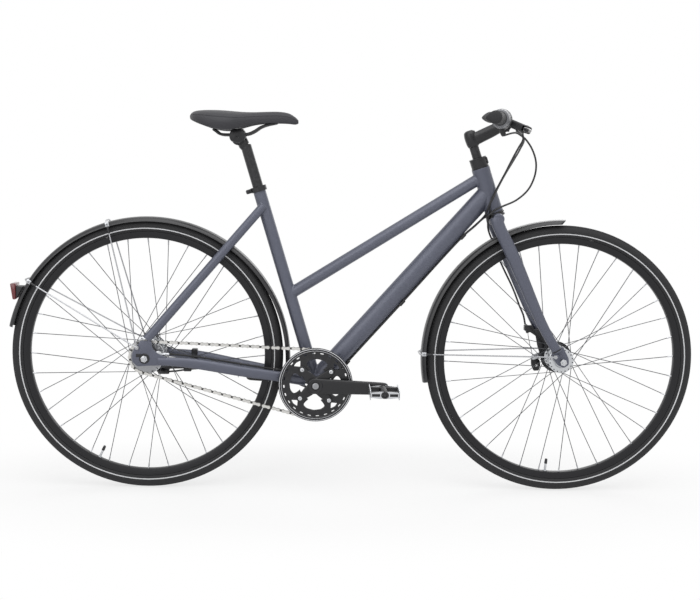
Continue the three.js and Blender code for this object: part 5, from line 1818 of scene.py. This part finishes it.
def guard(name, arch, start, end, steps, body, slant=0.0):
    """An arched channel: its section swept round the wheel, its ends' corners rounded off and
    its front end cut aslant."""
    x, z, radius = arch
    outer = [(0, 1), (7, 0.5), (14, -0.7), (18.5, -2.4), (21, -5), (22.6, -8), (23.5, -11)]
    outer = [(-u, w) for u, w in reversed(outer[1:])] + outer
    inner = [(22.3, -11), (21.4, -8.2), (19.8, -5.7), (17.6, -3.8), (13.4, -2.2), (6.8, -1.2)]
    inner += [(0, -0.8)] + [(-u, w) for u, w in reversed(inner)]
    corner = [(0, 0.8), (0.25, 0.89), (0.6, 0.95), (1.1, 0.985)]
    places = [(start + d, share) for d, share in corner]
    places += [(start + 1.7 + (end - start - 3.4) * i / steps, 1) for i in range(steps + 1)]
    places += [(end - d, share) for d, share in reversed(corner)]
    rings = []
    for angle, share in places:
        lag = math.radians(slant) * max(0.0, 1 - (angle - start) / 8) / 12
        ring = []
        for u, w in outer + inner:
            a = math.radians(angle) + lag * (1 - w)
            forward, up = around(x, z, radius + w, a)
            ring.append(spot(forward, u * share, up))
        rings.append(ring)
    channel = drawn_out(f"{name}_moulded", rings)
    return dress(channel, guard_black, body, [name], 40)


guard("rear_mudguard", rear_arch, -2.7, 167.4, 120, "frame")
guard("front_mudguard", front_arch, 89.2, 190.6, 72, "fork", 1.9)


def stay_end(eyelet, arch, angle):
    """Where a stay crosses over the guard, and the way it runs there."""
    x, z = around(arch[0], arch[1], arch[2] + 5.5, math.radians(angle))
    end = Vector((x, 0, z))
    return end, (end - Vector((eyelet[0], 0, eyelet[1]))).normalized()


def stay_line(eyelet, eyelet_y, arch, angle):
    """One wire from the axle's eyelet, over the guard and back to the other side."""
    end, run = stay_end(eyelet, arch, angle)
    rows = [[eyelet[0], -eyelet_y, eyelet[1]]]
    for distance, y in ((14, 29), (5, 27.8), (1.2, 24), (0, 18)):
        place = end - run * distance
        rows.append([place.x, -y, place.z])
    rows = rows[:1] + eased(rows[1:], 3)
    rows += [[x, -y, z] for x, y, z in reversed(rows)]
    return [tuple(spot(*row)) for row in rows]


def stay_fittings(name, eyelet, eyelet_y, arch, angle, body):
    """At each side of the guard: a bright clip with its bolt, and a black sleeve on the wire."""
    end, run = stay_end(eyelet, arch, angle)
    for hand, sign in (("left", 1), ("right", -1)):
        eye = Vector((eyelet[0], sign * eyelet_y, eyelet[1]))
        bend = end - run * 14 + Vector((0, sign * 29, 0))
        down = (eye - bend).normalized()
        sleeve = turned(
            f"{name}_sleeve_{hand}",
            [(1.8, 0), (2.7, 0.4), (2.9, 2), (2.9, 16), (2.7, 17.6), (1.8, 18)],
            spot(*(bend + down * 2)), down, 20,
        )
        dress(sleeve, black_satin, body)
        corner = Vector((0.005, 0.0035, 0.006))
        clip = box_between(f"{name}_clip_{hand}", -corner, corner)
        soften(clip, 1.4, 3)
        middle = end - run * 11 + Vector((0, sign * 26.6, 0))
        lean = Vector((0, 0, 1)).rotation_difference(run).to_matrix().to_4x4()
        clip.data.transform(Matrix.Translation(spot(*middle)) @ lean)
        dress(clip, hub_silver, body)
        bolt_foot = spot(middle.x, middle.y + sign * 3.5, middle.z)
        socket_bolt(f"{name}_clip_bolt_{hand}", bolt_foot, (0, sign, 0), 2.6, 1.6, body)


def stay_eyes(eyelet, low):
    """The eyes of a stay on both sides, each six millimetres thick."""
    x, z = eyelet
    return [
        soften(solid_bar("eyelet", spot(x, y, z), spot(x, y + 6, z), 5, 20), 0.8)
        for y in (low, -low - 6)
    ]


rear_eyelet, front_eyelet = (-18, 374), (1036, 362)
rear_angles, front_angle = (106.4, 147), 178.3
rear_lines = [stay_line(rear_eyelet, 79, rear_arch, angle) for angle in rear_angles]
rear_wires = pipes("rear_stay_wires", rear_lines, 1.75, 3)
rear_bent = together("rear_mudguard_stays_bent", [rear_wires, *stay_eyes(rear_eyelet, 74.2)])
dress(rear_bent, nipple_silver, "frame", ["rear_mudguard_stays"])
front_line = stay_line(front_eyelet, 78, front_arch, front_angle)
front_wire = pipes("front_stay_wire", [front_line], 1.75, 3)
front_bent = together("front_mudguard_stay_bent", [front_wire, *stay_eyes(front_eyelet, 73.8)])
dress(front_bent, nipple_silver, "fork", ["front_mudguard_stay"])
for level, angle in zip(("high", "low"), rear_angles):
    stay_fittings(f"rear_stay_{level}", rear_eyelet, 79, rear_arch, angle, "frame")
stay_fittings("front_stay", front_eyelet, 78, front_arch, front_angle, "fork")
for name, arch, hold_x, hold_z, near, body in (
    ("rear_guard_bridge_bolt", rear_arch, 233, 660, 7, "frame"),
    ("rear_guard_foot_bolt", rear_arch, 372, 291, 6, "frame"),
    ("front_guard_crown_bolt", front_arch, 888, 707, 15.4, "fork"),
):
    outward = Vector((hold_x - arch[0], 0, hold_z - arch[1]))
    reach = outward.length - arch[2] - near
    outward.normalize()
    foot = spot(arch[0] + outward.x * arch[2], 0, arch[1] + outward.z * arch[2])
    bolt = turned(
        name, [(0, 0.9), (7, 0.9), (7, 2), (5, 2.2), (5, 5.6), (3, 6), (3, reach), (0, reach)],
        foot, outward, 20,
    )
    dress(bolt, bolt_steel, body)

# Rear light: a black moulded body on the rear guard's tail, hollowed to lie against the guard,
# with a dark red moulded lens over its rear face.
red_lens = finish(
    "red_lens", colour(96, 14, 20), 0.16, grain=500.0, shade=0.3, bump=0.3, depth=0.0003,
    Coat_Weight=0.6, Coat_Roughness=0.08,
)


def guard_room():
    """The round of the rear guard, for what is fitted over it."""
    x, z = rear_arch[:2]
    return solid_bar("cutter", spot(x, -40, z), spot(x, 40, z), 364, 160)


light_body = box_between("rear_light_body_moulded", spot(-331, -20, 489), spot(-308, 20, 518))
cut_away(soften(light_body, 2, 3), guard_room())
dress(light_body, black_plastic, "frame", ["rear_light_body"])
lens = cut_plate(
    "rear_light_lens_moulded", [(-345, 526), (-339, 485), (-331.3, 485), (-331.3, 526)],
    -22, 22, 3, (), 1.5,
)
cut_away(lens, guard_room())
dress(lens, red_lens, "frame", ["rear_light_lens"])

# Cables: black plastic housings, clipped under the down tube and along the stays. Before the
# head tube each bends between the bar and the fork, and the rear two then on to the frame.
cable_black = finish("cable_black", colour(22, 22, 25), 0.42, grain=1400.0, bump=0.05)
bracket_centre = Vector((bracket_x, 0, bracket_z))
tube_run = (Vector(down_tube_top) - bracket_centre).normalized()


def under_tube(distance, y, drop=27.7):
    """A place below the down tube's middle line, so far up it from the bottom bracket."""
    below = Vector((tube_run.z, 0, -tube_run.x)) * drop
    place = bracket_centre + tube_run * distance + below
    return [place.x, y, place.z]


def from_grip(sign, x, y, z):
    """A place given in a grip's own directions, as a row of a cable's run."""
    return in_millimetres(grip_place(sign, x, y, z))


front_run = [
    from_grip(1, 52, 12, -16.6), from_grip(1, 52, 12, -30), [966, 86, 910], [954, 67, 886],
    [935, 44, 858], [911, 17, 824], [889, -13, 791], [874, -26, 762], [864.5, -27, 739.4],
    [866, -26.5, 724], [863, -20, 708], [864, -8, 694], [869, 12, 676], [882, 33, 650],
    [894.5, 43, 622], [908.4, 48, 592], [924, 48.5, 560.6], [939, 50, 532], [951, 51, 505.5],
    [961.7, 53, 479], [974, 55, 452], [979.6, 55, 428],
]
rear_run = [
    from_grip(-1, 52, -12, -16.6), from_grip(-1, 52, -12, -28), [928, -119, 905],
    [918.5, -110, 884], [908, -92, 858], [895, -72, 824], [882, -50, 791.6], [870, -36, 762],
    [861.5, -33.5, 739.6], [857, -27, 722], [850, -14, 708.5], [830, 0, 686.5], under_tube(530, 4),
    under_tube(300, 4), under_tube(60, 4), [459.5, 4, 270.5], [445, 4, 257.5], [430, 4, 255.5],
    [408, 9, 261.5], [380, 20, 271], [350, 29.5, 277.5], [330, 33.5, 280.5], [240, 47, 295.5],
    [170, 51, 304], [130, 49.5, 302], [95, 51.5, 298.5], [66, 55, 293.5], [40, 55.5, 291],
]
gear_run = [
    from_grip(-1, 19.6, -33.6, 41.3), [897.5, -147, 919.6], [908.5, -134, 920.3],
    [923.5, -114, 914.8], [936, -102, 907.5], [958.5, -76, 883.5], [974.5, -50, 850.5],
    [976, -30, 816.7], [962, -22, 782], [933, -20, 755], [897, -28, 739], [877, -35, 729.5],
    [861, -38, 716], [850, -24, 708], [829, -9, 685.5], under_tube(530, -5), under_tube(300, -5),
    under_tube(60, -5), [459.5, -5, 270.5], [445, -5, 257.5], [430, -5, 255.5], [410, -7, 261.5],
    [396, -10, 280], [391, -12, 300], [380, -18, 317], [350, -31, 313.5], [330, -34, 316],
    [240, -47, 331], [150, -57, 347], [100, -60.5, 353.5], [60, -59, 356], [34, -60, 355],
]


knot_steps = 6


def knotted(points):
    """A smooth line through points at uneven distances, as a springy housing lies."""
    places = [Vector(p) for p in points]
    places = [places[0] * 2 - places[1]] + places + [places[-1] * 2 - places[-2]]
    line = []
    for i in range(1, len(places) - 2):
        a, b, c, d = places[i - 1 : i + 3]
        ta, tb, tc = [max((q - p).length, 1e-6) ** 0.5 for p, q in ((a, b), (b, c), (c, d))]
        out_b = ((b - a) / ta - (c - a) / (ta + tb) + (c - b) / tb) * tb
        in_c = ((c - b) / tb - (d - b) / (tb + tc) + (d - c) / tc) * tb
        for step in range(knot_steps):
            t = step / knot_steps
            line.append(
                b * (2 * t**3 - 3 * t * t + 1) + out_b * (t**3 - 2 * t * t + t)
                + c * (3 * t * t - 2 * t**3) + in_c * (t**3 - t * t)
            )
    return line + [places[-2]]


def housing_along(name, node, places):
    """A housing along a smooth line, between two bodies; it rides on neither."""
    line = [tuple(spot(*place)) for place in places]
    return dress(pipes(name, [line], 2.4, 2), cable_black, None, [node])


front_housing = housing_along("front_brake_cable_housing", "front_brake_cable", knotted(front_run))
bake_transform(front_housing)
for node, run, meet, low in (
    ("rear_brake_cable", rear_run, 4, 10),
    ("gear_cable", gear_run, 6, 13),
):
    line = knotted(run)
    upper = housing_along(f"{node}_housing_upper", node, line[: meet * knot_steps + 1])
    lower = housing_along(f"{node}_housing_lower", node, line[meet * knot_steps :])
    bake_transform(upper)
    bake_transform(lower)

for number, distance in enumerate((530, 300, 90), 1):
    plate = box_between("guide", (-0.009, -0.009, -0.0022), (0.009, 0.009, 0.0056))
    soften(plate, 1.6, 3)
    lean = Vector((1, 0, 0)).rotation_difference(tube_run).to_matrix().to_4x4()
    place = spot(*under_tube(distance, -0.5, 26.4))
    plate.data.transform(Matrix.Translation(place) @ lean @ Matrix.Rotation(math.pi, 4, "X"))
    plate.name = f"cable_guide_{number}"
    dress(plate, black_satin, "frame")

clip_runs = (
    ((150, -57, 347), (100, -60.5, 353.5)), ((240, -47, 331), (150, -57, 347)),
    ((330, -34, 316), (240, -47, 331)), ((240, 47, 295.5), (170, 51, 304)),
    ((330, 33.5, 280.5), (240, 47, 295.5)),
)
for number, (here, there) in enumerate(clip_runs, 1):
    band = turned(
        f"cable_clip_{number}", [(2.5, -2.2), (3.7, -2), (3.7, 2), (2.5, 2.2)],
        spot(*here), Vector(there) - Vector(here), 24,
    )
    dress(band, black_satin, "frame")
low_clip = box_between("rear_brake_cable_clip", spot(84, 48, 293), spot(105, 57, 305))
dress(soften(low_clip, 3, 3), black_satin, "frame")

joint_sleeve = turned(
    "gear_joint_sleeve",
    [(0, 0), (4.2, 0), (4.6, 0.6), (4.6, 14), (3.4, 15), (3.4, 22), (2.6, 23), (0, 23)],
    spot(38, -60, 355.2), Vector((24, 0, 0.8)), 24,
)
joint_disc = turned(
    "gear_joint_disc", [(0, -67), (7, -67), (9, -66), (9, -58), (7, -57), (0, -57)],
    spot(33, 0, 355), leftwards, 28,
)
gear_joint = together("gear_joint_bright", [joint_sleeve, joint_disc])
dress(gear_joint, hub_silver, "frame")

# Bottom bracket inside its shell: a sealed steel cartridge, and the square steel axle that
# the cranks are pressed onto.
for node in ("bottom_bracket_cartridge", "bottom_bracket_axle"):
    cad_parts[node].data.materials.clear()
    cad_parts[node].data.materials.append(bolt_steel)
